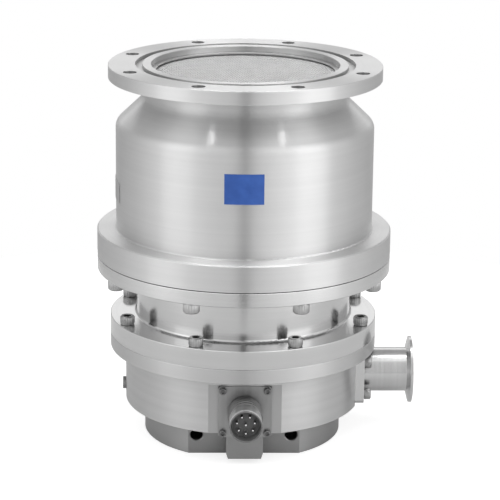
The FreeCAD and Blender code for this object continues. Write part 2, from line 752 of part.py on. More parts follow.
def makeBase():
    body = turned("base_body", [
        ("0", "chamberTop"),
        ("chamberRadius", "chamberTop"),
        ("chamberRadius", "coverRecessDepth"),
        ("coverRecessRadius", "coverRecessDepth"),
        ("coverRecessRadius", "0"),
        ("footRadius", "0"),
        ("footRadius", "footTop"),
        ("bodyRadius", "footTop"),
        ("bodyRadius", "bodyTop"),
        ("baseFlangeRadius", "bodyTop"),
        ("baseFlangeRadius", "baseTop"),
        ("baseSealRadius + sealGrooveWidth / 2", "baseTop"),
        ("baseSealRadius + sealGrooveWidth / 2", "baseTop - sealGrooveDepth"),
        ("baseSealRadius - sealGrooveWidth / 2", "baseTop - sealGrooveDepth"),
        ("baseSealRadius - sealGrooveWidth / 2", "baseTop"),
        ("channelRadius", "baseTop"),
        ("channelRadius", "channelFloor"),
        ("bossRadius", "channelFloor"),
        ("bossRadius", "bossTop"),
        ("columnRadius + seatClearance", "bossTop"),
        ("columnRadius + seatClearance", "columnWellFloor"),
        ("0", "columnWellFloor"),
    ])
    dressEdges(body, "Chamfer", "edgeChamfer", [
        ("footRadius", "0"),
        ("bodyRadius", "footTop"),
        ("baseFlangeRadius", "bodyTop"),
        ("baseFlangeRadius", "baseTop"),
    ])
    beyond = "(baseFlangeRadius + cutOverrun)"
    flats = (
        ("footTop", "footHeight", rectangle("-" + beyond, beyond, "-" + beyond, "-footFlat")),
        (
            "connectorFlatTop", "connectorFlatTop - footTop",
            rectangle("-" + beyond, beyond, "-" + beyond, "-connectorFlat"),
        ),
        ("bodyTop", "bodyHeight", rectangle("exhaustFlat", beyond, "-" + beyond, beyond)),
    )
    for level, depth, outline in flats:
        sketch = newSketch(body, "XY_Plane", level)
        drawOutline(sketch, outline)
        pocket(body, sketch, depth)
    cutHoles(
        body, "XY_Plane", "baseTop", [roundTheAxis("baseScrewCircleRadius", "boltStartAngle")],
        "baseScrewRadius + seatClearance", "baseScrewReach + cutOverrun", count="screwCount",
    )
    cutHoles(
        body, "XY_Plane", "bossTop", [roundTheAxis("columnScrewCircleRadius", "0")],
        "portScrewRadius + seatClearance", "columnScrewReach + tappingRoom",
        count="columnScrewCount",
    )
    cutHoles(
        body, "XY_Plane", "0", [roundTheAxis("footBoltCircleRadius", "45")],
        "footBoltHoleRadius", "footBoltHoleDepth", reverse=True, count="footBoltCount",
    )
    cutHoles(
        body, "XY_Plane", "coverRecessDepth", [roundTheAxis("coverScrewCircleRadius", "0")],
        "coverScrewRadius + seatClearance", "coverScrewReach", reverse=True,
        count="coverScrewCount",
    )
    waterPorts = [("waterPortOffset", "waterPortHeight"), ("-waterPortOffset", "waterPortHeight")]
    cutHoles(body, "XZ_Plane", "footFlat", waterPorts, "waterPortRadius", "waterPortDepth")
    bevel = cutHoles(
        body, "XZ_Plane", "footFlat", waterPorts, "waterPortRadius + waterPortBevel",
        "waterPortBevel / tan(waterPortBevelAngle * 1 deg)",
    )
    bevel.setExpression("TaperAngle", qualify("-waterPortBevelAngle"))
    cutHoles(
        body, "XZ_Plane", "footFlat", [("0", "footWireHoleHeight")],
        "footWireHoleRadius", "footFlat - chamberRadius + cutOverrun",
    )
    cutHoles(
        body, "XZ_Plane", "connectorFlat", [("0", "connectorHeight")],
        "connectorWellRadius", "connectorWellDepth",
    )
    half = "connectorScrewSpacing / 2"
    corners = [
        (sideways + half, "connectorHeight " + upward + " " + half)
        for sideways in ("", "-") for upward in ("+", "-")
    ]
    cutHoles(
        body, "XZ_Plane", "connectorFlat", corners,
        "connectorScrewRadius + seatClearance",
        "connectorScrewReach - connectorPlateThickness + cutOverrun",
    )
    cutHoles(
        body, "XY_Plane", "connectorHeight", [("0", "-wireHoleDistance")],
        "wireHoleRadius", "connectorHeight - footTop",
    )
    cutHoles(
        body, "YZ_Plane", "exhaustFlat", [("0", "exhaustHeight")],
        "exhaustBoreRadius", "exhaustFlat - (channelRadius + bossRadius) / 2",
    )
    cutHoles(
        body, "YZ_Plane", "exhaustFlat", exhaustCorners(),
        "portScrewRadius + seatClearance", "portScrewReach - exhaustPlateThickness + tappingRoom",
    )
    cutHoles(
        body, "YZ_Plane", "-bodyRadius", [("0", "purgePlugHeight")],
        "purgePlugRadius + seatClearance", "purgeHoleDepth", reverse=True,
    )
    torusRing("base_seal", "baseSealRadius", "sealCordRadius", "baseTop - sealGrooveDepth / 2")


def exhaustCorners():
    return [
        (sideways + "exhaustScrewY", "exhaustHeight " + upward + " exhaustScrewZ")
        for sideways in ("", "-") for upward in ("+", "-")
    ]


def makeCover():
    cover = turned("bottom_cover", [
        ("0", "coverFoot"),
        ("coverRecessRadius - faceClearance", "coverFoot"),
        ("coverRecessRadius - faceClearance", "coverFoot + coverThickness"),
        ("0", "coverFoot + coverThickness"),
    ])
    screwPlace = [roundTheAxis("coverScrewCircleRadius", "0")]
    cutHoles(
        cover, "XY_Plane", "coverFoot", screwPlace, "coverScrewRadius + screwHoleClearance",
        "coverThickness", reverse=True, count="coverScrewCount",
    )
    cutHoles(
        cover, "XY_Plane", "coverFoot", screwPlace,
        "coverScrewHeadRadius + faceClearance / 2", "coverScrewHeadHeight",
        reverse=True, count="coverScrewCount",
    )
    gasket = turned("cover_gasket", tube(
        "chamberRadius", "coverRecessRadius - faceClearance",
        "coverRecessDepth - gasketThickness", "coverRecessDepth",
    ))
    cutHoles(
        gasket, "XY_Plane", "coverRecessDepth", screwPlace,
        "coverScrewRadius + screwHoleClearance", "gasketThickness", count="coverScrewCount",
    )
    socketScrews(
        "cover_screws", "XY_Plane", "coverFoot + coverScrewHeadHeight", screwPlace,
        "coverScrew", "coverScrewReach", hanging=True, count="coverScrewCount",
    )


def makeExhaustPort():
    # Modelled with its bore on Z and its plate on the XY plane, then laid along +X.
    body = newBody("exhaust_port")
    length = "(exhaustReach - exhaustFlat)"
    turn(body, [[
        ("exhaustBoreRadius", "0"),
        ("exhaustTubeRadius", "0"),
        ("exhaustTubeRadius", length + " - exhaustFlangeRim - exhaustTaperDepth"),
        ("exhaustFlangeRadius", length + " - exhaustFlangeRim"),
        ("exhaustFlangeRadius", length),
        ("exhaustSeatRadius", length),
        ("exhaustSeatRadius", length + " - exhaustSeatDepth"),
        ("exhaustBoreRadius", length + " - exhaustSeatDepth"),
    ]])
    sketch = newSketch(body, "XY_Plane")
    wide = "exhaustPlateWidth / 2"
    tall = "exhaustPlateHeight / 2"
    corner = "exhaustPlateCorner"
    drawOutline(sketch, cornerCutOutline(tall, wide, corner))
    drawCircles(sketch, [("0", "0")], "(exhaustBoreRadius + exhaustTubeRadius) / 2")
    pad(body, sketch, "exhaustPlateThickness")
    screwPlaces = [
        (upward + "exhaustScrewZ", sideways + "exhaustScrewY")
        for sideways in ("", "-") for upward in ("", "-")
    ]
    cutHoles(
        body, "XY_Plane", "exhaustPlateThickness", screwPlaces,
        "portScrewRadius + screwHoleClearance", "exhaustPlateThickness",
    )
    groove = newSketch(body, "XY_Plane")
    drawCircles(groove, [("0", "0")], "exhaustSealRadius + exhaustSealGrooveWidth / 2")
    drawCircles(groove, [("0", "0")], "exhaustSealRadius - exhaustSealGrooveWidth / 2")
    pocket(body, groove, "exhaustSealGrooveDepth", True)
    placeBody(body, "exhaustFlat", "0", "exhaustHeight", towardsX)
    seal = torusRing(
        "exhaust_seal", "exhaustSealRadius", "exhaustSealCord", "exhaustSealGrooveDepth / 2",
    )
    placeBody(seal, "exhaustFlat", "0", "exhaustHeight", towardsX)
    socketScrews(
        "exhaust_screws", "YZ_Plane", "exhaustPlateFace", exhaustCorners(), "portScrew",
        "portScrewReach",
    )


def cornerCutOutline(halfWidth, halfHeight, corner):
    # A rectangle about the origin with its four corners cut at 45 degrees.
    outline = []
    for across, up in (("", "-"), ("", ""), ("-", ""), ("-", "-")):
        onSide = ("%s(%s)" % (across, halfWidth), "%s(%s - %s)" % (up, halfHeight, corner))
        onEnd = ("%s(%s - %s)" % (across, halfWidth, corner), "%s(%s)" % (up, halfHeight))
        sideFirst = (across == "") == (up == "")
        outline += [onSide, onEnd] if sideFirst else [onEnd, onSide]
    return outline


def makeConnector():
    # Each piece is modelled along Z and then laid along -Y.
    plate = newBody("connector_plate")
    sketch = newSketch(plate, "XY_Plane")
    half = "connectorPlateSize / 2"
    drawOutline(sketch, cornerCutOutline(half, half, "connectorPlateCorner"))
    drawCircles(sketch, [("0", "0")], "connectorBoreRadius")
    pad(plate, sketch, "connectorPlateThickness")
    spacing = "connectorScrewSpacing / 2"
    screwPlaces = [(a + spacing, b + spacing) for a in ("", "-") for b in ("", "-")]
    cutHoles(
        plate, "XY_Plane", "connectorPlateThickness", screwPlaces,
        "connectorScrewRadius + screwHoleClearance / 2", "connectorPlateThickness",
    )
    placeBody(plate, "0", "-connectorFlat", "connectorHeight", towardsFront)

    shell = newBody("connector_shell")
    foot = "connectorPlateThickness"
    bossEnd = "connectorPlateThickness + connectorBossLength"
    mouth = bossEnd + " + connectorShellLength"
    turn(shell, [[
        ("connectorBoreRadius", foot),
        ("connectorBossRadius", foot),
        ("connectorBossRadius", bossEnd),
        ("connectorShellRadius", bossEnd),
        ("connectorShellRadius", mouth),
        ("connectorBoreRadius", mouth),
    ]])
    keyway = newSketch(shell, "XY_Plane", mouth)
    drawOutline(keyway, rectangle(
        "-connectorKeyWidth / 2", "connectorKeyWidth / 2",
        "connectorBoreRadius - connectorKeyDepth", "connectorBoreRadius + connectorKeyDepth",
    ))
    pocket(shell, keyway, "connectorInsertRecess")
    placeBody(shell, "0", "-connectorFlat", "connectorHeight", towardsFront)

    insert = newBody("connector_insert")
    insertTop = mouth + " - connectorInsertRecess"
    turn(insert, [[
        ("0", "0"),
        ("connectorBoreRadius - seatClearance", "0"),
        ("connectorBoreRadius - seatClearance", insertTop),
        ("0", insertTop),
    ]])
    pinRoots = newSketch(insert, "XY_Plane", insertTop)
    drawCircles(pinRoots, connectorPinPlaces(), "connectorPinRadius + seatClearance")
    pocket(insert, pinRoots, "connectorPinRoot")
    placeBody(insert, "0", "-connectorFlat", "connectorHeight", towardsFront)

    pins = newBody("connector_pins")
    pinSketch = newSketch(pins, "XY_Plane", insertTop + " - connectorPinRoot")
    drawCircles(pinSketch, connectorPinPlaces(), "connectorPinRadius")
    pad(pins, pinSketch, "connectorPinRoot + connectorPinReach")
    placeBody(pins, "0", "-connectorFlat", "connectorHeight", towardsFront)

    corners = [
        (sideways + spacing, "connectorHeight " + upward + " " + spacing)
        for sideways in ("", "-") for upward in ("+", "-")
    ]
    socketScrews(
        "connector_screws", "XZ_Plane", "connectorPlateFace", corners, "connectorScrew",
        "connectorScrewReach",
    )


def connectorPinPlaces():
    # One pin in the middle and a ring of pins, the first of them at the bottom.
    places = [("0", "0")]
    for k in range(int(number("connectorPinCount"))):
        angle = "-90 + %d * 360 / connectorPinCount" % k
        places.append(roundTheAxis("connectorPinCircleRadius", angle))
    return places


def makeDuct():
    duct = newBody("wiring_duct")
    halfTop = "ductWidth / 2"
    halfFoot = "ductTaperWidth / 2"
    profile = newSketch(duct, "XZ_Plane", "footFlat")
    drawOutline(profile, [
        ("-" + halfTop, "footTop"),
        ("-" + halfTop, "ductBottom + ductTaperHeight"),
        ("-" + halfFoot, "ductBottom"),
        (halfFoot, "ductBottom"),
        (halfTop, "ductBottom + ductTaperHeight"),
        (halfTop, "footTop"),
    ])
    depth = "connectorFlat - faceClearance - footFlat"
    pad(duct, profile, depth)
    hollow = newSketch(duct, "XZ_Plane", "footFlat")
    inside = halfFoot + " - ductWall"
    drawOutline(hollow, rectangle(
        "-(" + inside + ")", inside, "ductBottom + ductWall", "footTop - ductWall / 2",
    ))
    pocket(duct, hollow, depth + " - ductWall / 2", True)
    cutHoles(
        duct, "XY_Plane", "footTop", [("0", "-wireHoleDistance")], "wireHoleRadius", "ductWall",
    )


def makePurgePlug():
    plug = newBody("purge_plug")
    sketch = newSketch(plug, "YZ_Plane", "-(bodyRadius + purgePlugProud)")
    drawCircles(sketch, [("0", "purgePlugHeight")], "purgePlugRadius")
    pad(plug, sketch, "purgePlugProud + purgeHoleDepth")
    socket = newSketch(plug, "YZ_Plane", "-(bodyRadius + purgePlugProud)")
    drawOutline(socket, hexagon(("0", "purgePlugHeight"), "purgeSocket"))
    pocket(plug, socket, "purgeSocketDepth", True)


def makePlate(label, thickness, width, height, level, angle):
    # A thin plate curved round the casing.
    body = newBody(label)
    inner = "casingRadius + seatClearance"
    outline = tube(inner, "%s + %s" % (inner, thickness), level, "%s + %s" % (level, height))
    turn(body, [outline], "%s / casingRadius * 180 / pi" % width, True)
    body.setExpression("Placement.Rotation.Angle", qualify(angle + " * 1 deg"))


def rowTop(row):
    # The upper level of a rotor row, counted from 0 at the inlet.
    pairs = "%d * (firstRotorRow + firstStatorRow + 2 * rowGap)" % row
    saved = "%d * (rotorRowStep + statorRowStep)" % (row * (row - 1) // 2)
    return "rotorTop - %s + %s" % (pairs, saved)


def rotorRowHeight(row):
    return "(firstRotorRow - %d * rotorRowStep)" % row


def statorRowHeight(row):
    return "(firstStatorRow - %d * statorRowStep)" % row


def addBlades(body, row, root, tip, low, height, lean):
    # Straight blades set at the row's angle to the plane of rotation.
    sketch = newSketch(body, "YZ_Plane", root)
    angle = "(bladeAngle - %d * bladeAngleStep)" % row
    shift = "%s%s / tan(%s * 1 deg) / 2" % (lean, height, angle)
    half = "bladeThickness / 2"
    drawOutline(sketch, [
        ("-(%s) - %s" % (shift, half), low),
        ("-(%s) + %s" % (shift, half), low),
        ("%s + %s" % (shift, half), "%s + %s" % (low, height)),
        ("%s - %s" % (shift, half), "%s + %s" % (low, height)),
    ])
    blade = pad(body, sketch, "%s - (%s)" % (tip, root))
    ringPattern(body, [blade], "firstBladeCount + %d * bladeCountStep" % row)


def bladedRing(label, rings, rows):
    # Joins the turned rings of a bladed piece with its rows of blades in one solid.
    core = doc.addObject("PartDesign::Body", label + "_core")
    core.AllowCompound = True
    turn(core, rings)
    pieces = [core]
    for row, root, tip, low, height, lean in rows:
        blades = doc.addObject("PartDesign::Body", "%s_blades_%d" % (label, row))
        blades.AllowCompound = True
        addBlades(blades, row, root, tip, low, height, lean)
        pieces.append(blades)
    whole = doc.addObject("Part::MultiFuse", label)
    whole.Shapes = pieces
    parts.append(whole)
    return core


def makeRotor():
    outline = [
        ("journalRadius + seatClearance", "webFoot"),
        ("bellRadius", "webFoot"),
        ("bellRadius", "drumShoulderTop - drumShoulderHeight"),
        ("drumInnerRadius", "drumShoulderTop - 2 * drumShoulderHeight"),
        ("drumInnerRadius", "drumFoot"),
        ("drumRadius", "drumFoot"),
        ("drumRadius", "drumShoulderFoot"),
        ("hubRadius", "drumShoulderTop"),
        ("hubRadius", "rotorTop"),
        ("bellRadius", "rotorTop"),
        ("bellRadius", "webTop"),
        ("journalRadius + seatClearance", "webTop"),
    ]
    rows = []
    for row in range(5):
        height = rotorRowHeight(row)
        low = rowTop(row) + " - " + height
        rows.append((row, "hubRadius - bladeSink", "bladeTipRadius", low, height, ""))
    body = bladedRing("turbine_rotor", [outline], rows)
    screwPlace = [roundTheAxis("rotorScrewCircleRadius", "0")]
    cutHoles(
        body, "XY_Plane", "webTop", screwPlace, "portScrewRadius + screwHoleClearance",
        "webThickness", count="rotorScrewCount",
    )
    shaft = turned("rotor_shaft", [
        ("0", "shaftEnd"),
        ("journalRadius", "shaftEnd"),
        ("journalRadius", "thrustDiscTop"),
        ("shaftRadius", "thrustDiscTop"),
        ("shaftRadius", "motorFoot"),
        ("sleeveRadius", "motorFoot"),
        ("sleeveRadius", "motorTop"),
        ("shaftRadius", "motorTop"),
        ("shaftRadius", "upperJournalFoot"),
        ("journalRadius", "upperJournalFoot"),
        ("journalRadius", "shaftFlangeFoot"),
        ("shaftFlangeRadius", "shaftFlangeFoot"),
        ("shaftFlangeRadius", "webFoot"),
        ("journalRadius", "webFoot"),
        ("journalRadius", "webFoot + shaftSpigot"),
        ("0", "webFoot + shaftSpigot"),
    ])
    cutHoles(
        shaft, "XY_Plane", "webFoot", screwPlace, "portScrewRadius + seatClearance",
        "rotorScrewReach + cutOverrun", count="rotorScrewCount",
    )
    socketScrews(
        "rotor_screws", "XY_Plane", "webTop", screwPlace, "portScrew",
        "webThickness + rotorScrewReach", count="rotorScrewCount",
    )
    turned("thrust_disc", tube(
        "journalRadius + seatClearance", "thrustDiscRadius", "thrustDiscFoot", "thrustDiscTop",
    ))
    turned("motor_magnet", tube(
        "sleeveRadius + seatClearance", "shaftRadius", "motorFoot", "motorTop",
    ))


def makeStatorStack():
    # Each disc's rim is held between two spacer rings.
    below = "spoolTop"
    outer = "casingInnerRadius - seatClearance"
    for disc in range(1, 5):
        row = 4 - disc
        height = statorRowHeight(row)
        low = "%s - %s - rowGap - %s" % (rowTop(row), rotorRowHeight(row), height)
        rimTop = low + " + statorRimThickness"
        turned("spacer_ring_%d" % disc, tube("spacerInnerRadius", outer, below, low))
        rings = [
            tube("spacerInnerRadius - statorRimLip", outer, low, rimTop),
            tube("statorBoreRadius", "statorBoreRadius + statorBoreRim", low, rimTop),
        ]
        tip = "spacerInnerRadius - statorRimLip + joinSink"
        blades = (row, "statorBoreRadius + joinSink", tip, low, height, "-")
        bladedRing("stator_disc_%d" % disc, rings, [blades])
        below = rimTop
    turned("spacer_ring_5", tube(
        "spacerInnerRadius", outer, below, "innerShoulder - seatClearance",
    ))


def makeColumn():
    body = turned("bearing_column", [
        ("columnBoreRadius", "columnFoot"),
        ("columnRadius", "columnFoot"),
        ("columnRadius", "bossTop"),
        ("columnFlangeRadius", "bossTop"),
        ("columnFlangeRadius", "bossTop + columnFlangeHeight"),
        ("columnRadius", "bossTop + columnFlangeHeight"),
        ("columnRadius", "columnTop"),
        ("bearingSeatRadius", "columnTop"),
        ("bearingSeatRadius", "columnLip"),
        ("columnBoreRadius", "columnLip"),
    ])
    screwPlace = [roundTheAxis("columnScrewCircleRadius", "0")]
    cutHoles(
        body, "XY_Plane", "bossTop + columnFlangeHeight", screwPlace,
        "portScrewRadius + screwHoleClearance", "columnFlangeHeight", count="columnScrewCount",
    )
    socketScrews(
        "column_screws", "XY_Plane", "bossTop + columnFlangeHeight", screwPlace, "portScrew",
        "columnFlangeHeight + columnScrewReach", count="columnScrewCount",
    )
    turned("bearing_plate", tube(
        "bearingSeatRadius", "magnetOuterRadius", "columnFoot", "bearingPlateTop",
    ))


def makeAxialMagnet(label, foot, top, coilUp):
    grooveEdge = top + " - axialCoilDepth" if coilUp else foot + " + axialCoilDepth"
    faceLevel = top if coilUp else foot
    otherFace = foot if coilUp else top
    turned(label, [
        ("axialMagnetInnerRadius", otherFace),
        ("magnetOuterRadius", otherFace),
        ("magnetOuterRadius", faceLevel),
        ("axialCoilOuterRadius", faceLevel),
        ("axialCoilOuterRadius", grooveEdge),
        ("axialCoilInnerRadius", grooveEdge),
        ("axialCoilInnerRadius", faceLevel),
        ("axialMagnetInnerRadius", faceLevel),
    ])


def makeAxialBearing():
    makeAxialMagnet("lower_axial_magnet", "bearingPlateTop", "lowerAxialTop", True)
    makeAxialMagnet("upper_axial_magnet", "upperAxialFoot", "upperAxialTop", False)
    inner = "axialCoilInnerRadius + seatClearance"
    outer = "axialCoilOuterRadius - seatClearance"
    turned(
        "axial_coils",
        tube(inner, outer, "lowerAxialTop - axialCoilDepth", "lowerAxialTop"),
        tube(inner, outer, "upperAxialFoot", "upperAxialFoot + axialCoilDepth"),
    )


def poleCore(label, foot, top, width, count):
    # A laminated ring with poles that point at the shaft.
    body = turned(label, tube("yokeInnerRadius", "magnetOuterRadius", foot, top))
    sketch = newSketch(body, "YZ_Plane", "magnetInnerRadius")
    drawOutline(sketch, rectangle("-%s / 2" % width, "%s / 2" % width, foot, top))
    pole = pad(body, sketch, "yokeInnerRadius - magnetInnerRadius + joinSink")
    ringPattern(body, [pole], count)


def poleCoils(label, foot, top):
    # One rectangular coil round each pole.
    body = newBody(label)
    start = "magnetInnerRadius + coilEdge"
    outer = newSketch(body, "YZ_Plane", start)
    drawOutline(outer, rectangle(
        "-coilWidth / 2", "coilWidth / 2", foot + " - coilOverhang", top + " + coilOverhang",
    ))
    drawOutline(outer, rectangle(
        "-poleWidth / 2 - seatClearance", "poleWidth / 2 + seatClearance",
        foot + " - seatClearance", top + " + seatClearance",
    ))
    coil = pad(body, outer, "yokeInnerRadius - 2 * coilEdge - (%s)" % start)
    ringPattern(body, [coil], "poleCount")


def makeMagnets():
    for side in ("lower", "upper"):
        foot = side + "MagnetFoot"
        top = side + "MagnetTop"
        poleCore(side + "_radial_magnet", foot, top, "poleWidth", "poleCount")
        poleCoils(side + "_radial_coils", foot, top)
        sensorFoot = side + "SensorFoot"
        turned(side + "_sensor_ring", tube(
            "magnetInnerRadius", "magnetOuterRadius", sensorFoot, sensorFoot + " + sensorHeight",
        ))
    poleCore("motor_core", "motorFoot", "motorTop", "motorPoleWidth", "motorPoleCount")
    turned(
        "motor_windings",
        tube("windingInnerRadius", "magnetOuterRadius", "motorFoot - windingHeight", "motorFoot"),
        tube("windingInnerRadius", "magnetOuterRadius", "motorTop", "motorTop + windingHeight"),
    )


def makeTouchdownBearing(side):
    foot = side + "RaceFoot"
    middle = foot + " + raceHeight / 2"
    rings = {
        "inner": tube(
            "journalRadius + touchdownGap", "ballCircleRadius - raceHalfGap", foot,
            foot + " + raceHeight",
        ),
        "outer": tube(
            "ballCircleRadius + raceHalfGap", "bearingSeatRadius - seatClearance", foot,
            foot + " + raceHeight",
        ),
    }
    for name, outline in rings.items():
        ring = turned("%s_touchdown_%s_ring" % (side, name), outline)
        race = newSketch(ring, "XZ_Plane")
        drawCircles(race, [("ballCircleRadius", middle)], "ballRadius + ballClearance")
        groove = ring.newObject("PartDesign::Groove", ring.Label + "_race")
        groove.Profile = race
        groove.ReferenceAxis = (race, ["V_Axis"])
        groove.Angle = 360
    balls = newBody(side + "_touchdown_balls")
    ball = balls.newObject("PartDesign::AdditiveSphere", balls.Label + "_ball")
    ball.setExpression("Radius", qualify("ballRadius"))
    ball.setExpression("Placement.Base.x", qualify("ballCircleRadius"))
    ball.setExpression("Placement.Base.z", qualify(middle))
    ringPattern(balls, [ball], "ballCount")


makeCasing()
makeScreen()
makeSpool()
makeBase()
makeCover()
makeExhaustPort()
makeConnector()
makeDuct()
makePurgePlug()
makePlate(
    "nameplate", "plateThickness", "nameplateWidth", "nameplateHeight", "nameplateLevel",
    "nameplateAngle",
)
makePlate("front_label", "labelThickness", "labelWidth", "labelHeight", "labelLevel", "labelAngle")
makeRotor()
makeStatorStack()
makeColumn()
makeAxialBearing()
makeMagnets()
makeTouchdownBearing("upper")
makeTouchdownBearing("lower")
doc.recompute()

failed = [piece.Label for piece in doc.Objects if {"Invalid", "Error"} & set(piece.State)]
if failed:
    raise RuntimeError("These features failed: " + ", ".join(failed))
for part in parts:
    if part.Shape.isNull() or not part.Shape.isValid():
        raise RuntimeError(part.Label + " has no valid shape")

os.makedirs("parts", exist_ok=True)
for part in parts:
    part.Shape.exportStep("parts/%s.step" % part.Label)
    box = part.Shape.BoundBox
    print("%-28s solids %2d  volume %10.0f  z %7.2f to %7.2f" % (
        part.Label, len(part.Shape.Solids), part.Shape.Volume, box.ZMin, box.ZMax,
    ))
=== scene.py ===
import json
import math

import bmesh
import bpy
from mathutils import Matrix, Vector

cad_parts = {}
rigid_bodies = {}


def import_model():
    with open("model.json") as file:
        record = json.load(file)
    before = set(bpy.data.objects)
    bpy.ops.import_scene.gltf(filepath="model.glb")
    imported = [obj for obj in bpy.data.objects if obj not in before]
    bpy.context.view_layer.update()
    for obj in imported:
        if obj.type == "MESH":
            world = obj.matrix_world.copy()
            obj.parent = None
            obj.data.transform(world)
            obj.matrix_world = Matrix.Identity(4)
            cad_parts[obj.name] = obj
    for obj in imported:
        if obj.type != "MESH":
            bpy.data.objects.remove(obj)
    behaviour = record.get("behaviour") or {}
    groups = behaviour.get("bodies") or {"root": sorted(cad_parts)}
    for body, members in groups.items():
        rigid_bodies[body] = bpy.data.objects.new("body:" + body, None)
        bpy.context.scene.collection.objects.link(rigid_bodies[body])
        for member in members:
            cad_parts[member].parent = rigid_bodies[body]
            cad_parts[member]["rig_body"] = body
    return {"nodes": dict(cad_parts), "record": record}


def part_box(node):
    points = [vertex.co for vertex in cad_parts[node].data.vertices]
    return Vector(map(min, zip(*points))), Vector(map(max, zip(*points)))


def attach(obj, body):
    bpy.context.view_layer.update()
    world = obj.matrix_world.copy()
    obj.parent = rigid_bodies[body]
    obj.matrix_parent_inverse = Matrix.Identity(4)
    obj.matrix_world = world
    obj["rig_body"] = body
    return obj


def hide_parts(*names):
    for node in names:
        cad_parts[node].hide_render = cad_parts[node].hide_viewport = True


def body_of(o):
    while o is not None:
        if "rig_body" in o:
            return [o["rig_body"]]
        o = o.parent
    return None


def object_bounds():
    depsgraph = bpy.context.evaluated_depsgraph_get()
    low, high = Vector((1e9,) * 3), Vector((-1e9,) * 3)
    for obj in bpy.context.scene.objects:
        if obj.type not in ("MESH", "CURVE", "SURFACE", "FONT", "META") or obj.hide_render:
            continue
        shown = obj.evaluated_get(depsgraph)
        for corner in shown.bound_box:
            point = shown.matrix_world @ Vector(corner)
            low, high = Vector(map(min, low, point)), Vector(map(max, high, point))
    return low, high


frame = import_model()
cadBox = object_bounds()
nodes = frame["nodes"]
scene = bpy.context.scene
scene.view_settings.view_transform = "Standard"
print("frame loaded,", len(nodes), "nodes")


# The camera stands a little left of the pump's front, above it, and looks down.
camera = {
    "lens": 157.604,           # millimetres, for a sensor 36 mm wide
    "sensor": 36.0,
    "distance": 2.3515,        # metres, from the pump's axis
    "height": 0.878,           # metres, above the foot
    "azimuth": -1.4,           # degrees round the pump
    "pitch": 15.937,           # degrees, downwards
    "yaw": 0.171,              # degrees, to the right
    "roll": 0.6355,            # degrees, anticlockwise
}


def makeCamera():
    data = bpy.data.cameras.new("camera")
    data.lens = camera["lens"]
    data.sensor_width = camera["sensor"]
    pitch, yaw = math.radians(camera["pitch"]), math.radians(camera["yaw"])
    forward = Vector((0, math.cos(pitch), -math.sin(pitch)))
    forward.rotate(Matrix.Rotation(-yaw, 3, "Z"))
    right = forward.cross(Vector((0, 0, 1))).normalized()
    up = right.cross(forward)
    roll = Matrix.Rotation(math.radians(camera["roll"]), 3, -forward)
    facing = Matrix((roll @ right, roll @ up, -forward)).transposed().to_4x4()
    stand = Matrix.Translation((0, -camera["distance"], camera["height"]))
    turn = Matrix.Rotation(math.radians(camera["azimuth"]), 4, "Z")
    holder = bpy.data.objects.new("camera", data)
    holder.matrix_world = turn @ stand @ facing
    scene.collection.objects.link(holder)
    scene.camera = holder


makeCamera()
print("camera placed")


# Node trees: a node is placed, and each of its inputs gets a constant or a link.
def place(tree, kind, inputs=None, **settings):
    node = tree.nodes.new("ShaderNode" + kind)
    for name, value in settings.items():
        setattr(node, name, value)
    for name, value in (inputs or {}).items():
        if isinstance(value, bpy.types.NodeSocket):
            tree.links.new(value, node.inputs[name])
        else:
            node.inputs[name].default_value = value
    return node


def sums(tree, operation, first, second=0.0, third=0.0, clamp=False):
    return place(tree, "Math", {0: first, 1: second, 2: third},
                 operation=operation, use_clamp=clamp).outputs[0]


def spread(tree, value, low, high, newLow=0.0, newHigh=1.0):
    inputs = {"Value": value, "From Min": low, "From Max": high, "To Min": newLow, "To Max": newHigh}
    return place(tree, "MapRange", inputs, clamp=True).outputs["Result"]


def blendColours(tree, share, first, second):
    return place(tree, "Mix", {0: share, 6: first, 7: second}, data_type="RGBA").outputs[2]


def useGroup(tree, group, inputs):
    return place(tree, "Group", inputs, node_tree=group)


def newGroup(name, inputs, outputs):
    tree = bpy.data.node_groups.new(name, "ShaderNodeTree")
    for label, value in inputs.items():
        socket = tree.interface.new_socket(label, in_out="INPUT", socket_type="NodeSocketFloat")
        socket.default_value = value
    for label, kind in outputs.items():
        tree.interface.new_socket(label, in_out="OUTPUT", socket_type="NodeSocket" + kind)
    return tree, tree.nodes.new("NodeGroupInput"), tree.nodes.new("NodeGroupOutput")


def finishGroup(tree, groupOut, outputs):
    for label, socket in outputs.items():
        tree.links.new(socket, groupOut.inputs[label])
    return tree


# What the shared effects are set to. A range gives the two values that become 0 and 1.
effects = {
    "grooveRange": (0.3, 0.7),     # of noise, as the next two are
    "patchRange": (0.35, 0.65),
    "smudgeRange": (0.38, 0.68),
    "edgeRange": (0.999, 0.93),    # cosine between a face and its rounded normal
    # The next range sets the painted shade in holes, sockets and corners.
    "openRange": (0.1, 0.55),      # share of what is around that is open
    "latheLayers": ((1.0, 2.0), (9.0, 3.0)),       # width in pitches, and detail: fine lines, wide bands
    "straightLayers": ((1.0, 2.0), (8.0, 2.0)),
    "bandShare": 0.5,              # of the wide bands in the grooves' height
    "alongGroove": 0.02,           # how slowly straight grooves change along their length
    "patchScale": 0.03,            # share of the grain's own scale
}


def grooveLayer(tree, x, y, z, detail):
    grooves = place(tree, "CombineXYZ", {"X": x, "Y": y, "Z": z})
    noise = place(tree, "TexNoise", {"Vector": grooves.outputs[0], "Scale": 1.0, "Detail": detail})
    return spread(tree, noise.outputs["Fac"], *effects["grooveRange"])


def finishGrooves(tree, groupOut, fine, wide):
    height = sums(tree, "MULTIPLY_ADD", wide, effects["bandShare"], fine)
    return finishGroup(tree, groupOut, {"Height": height, "Bands": wide})


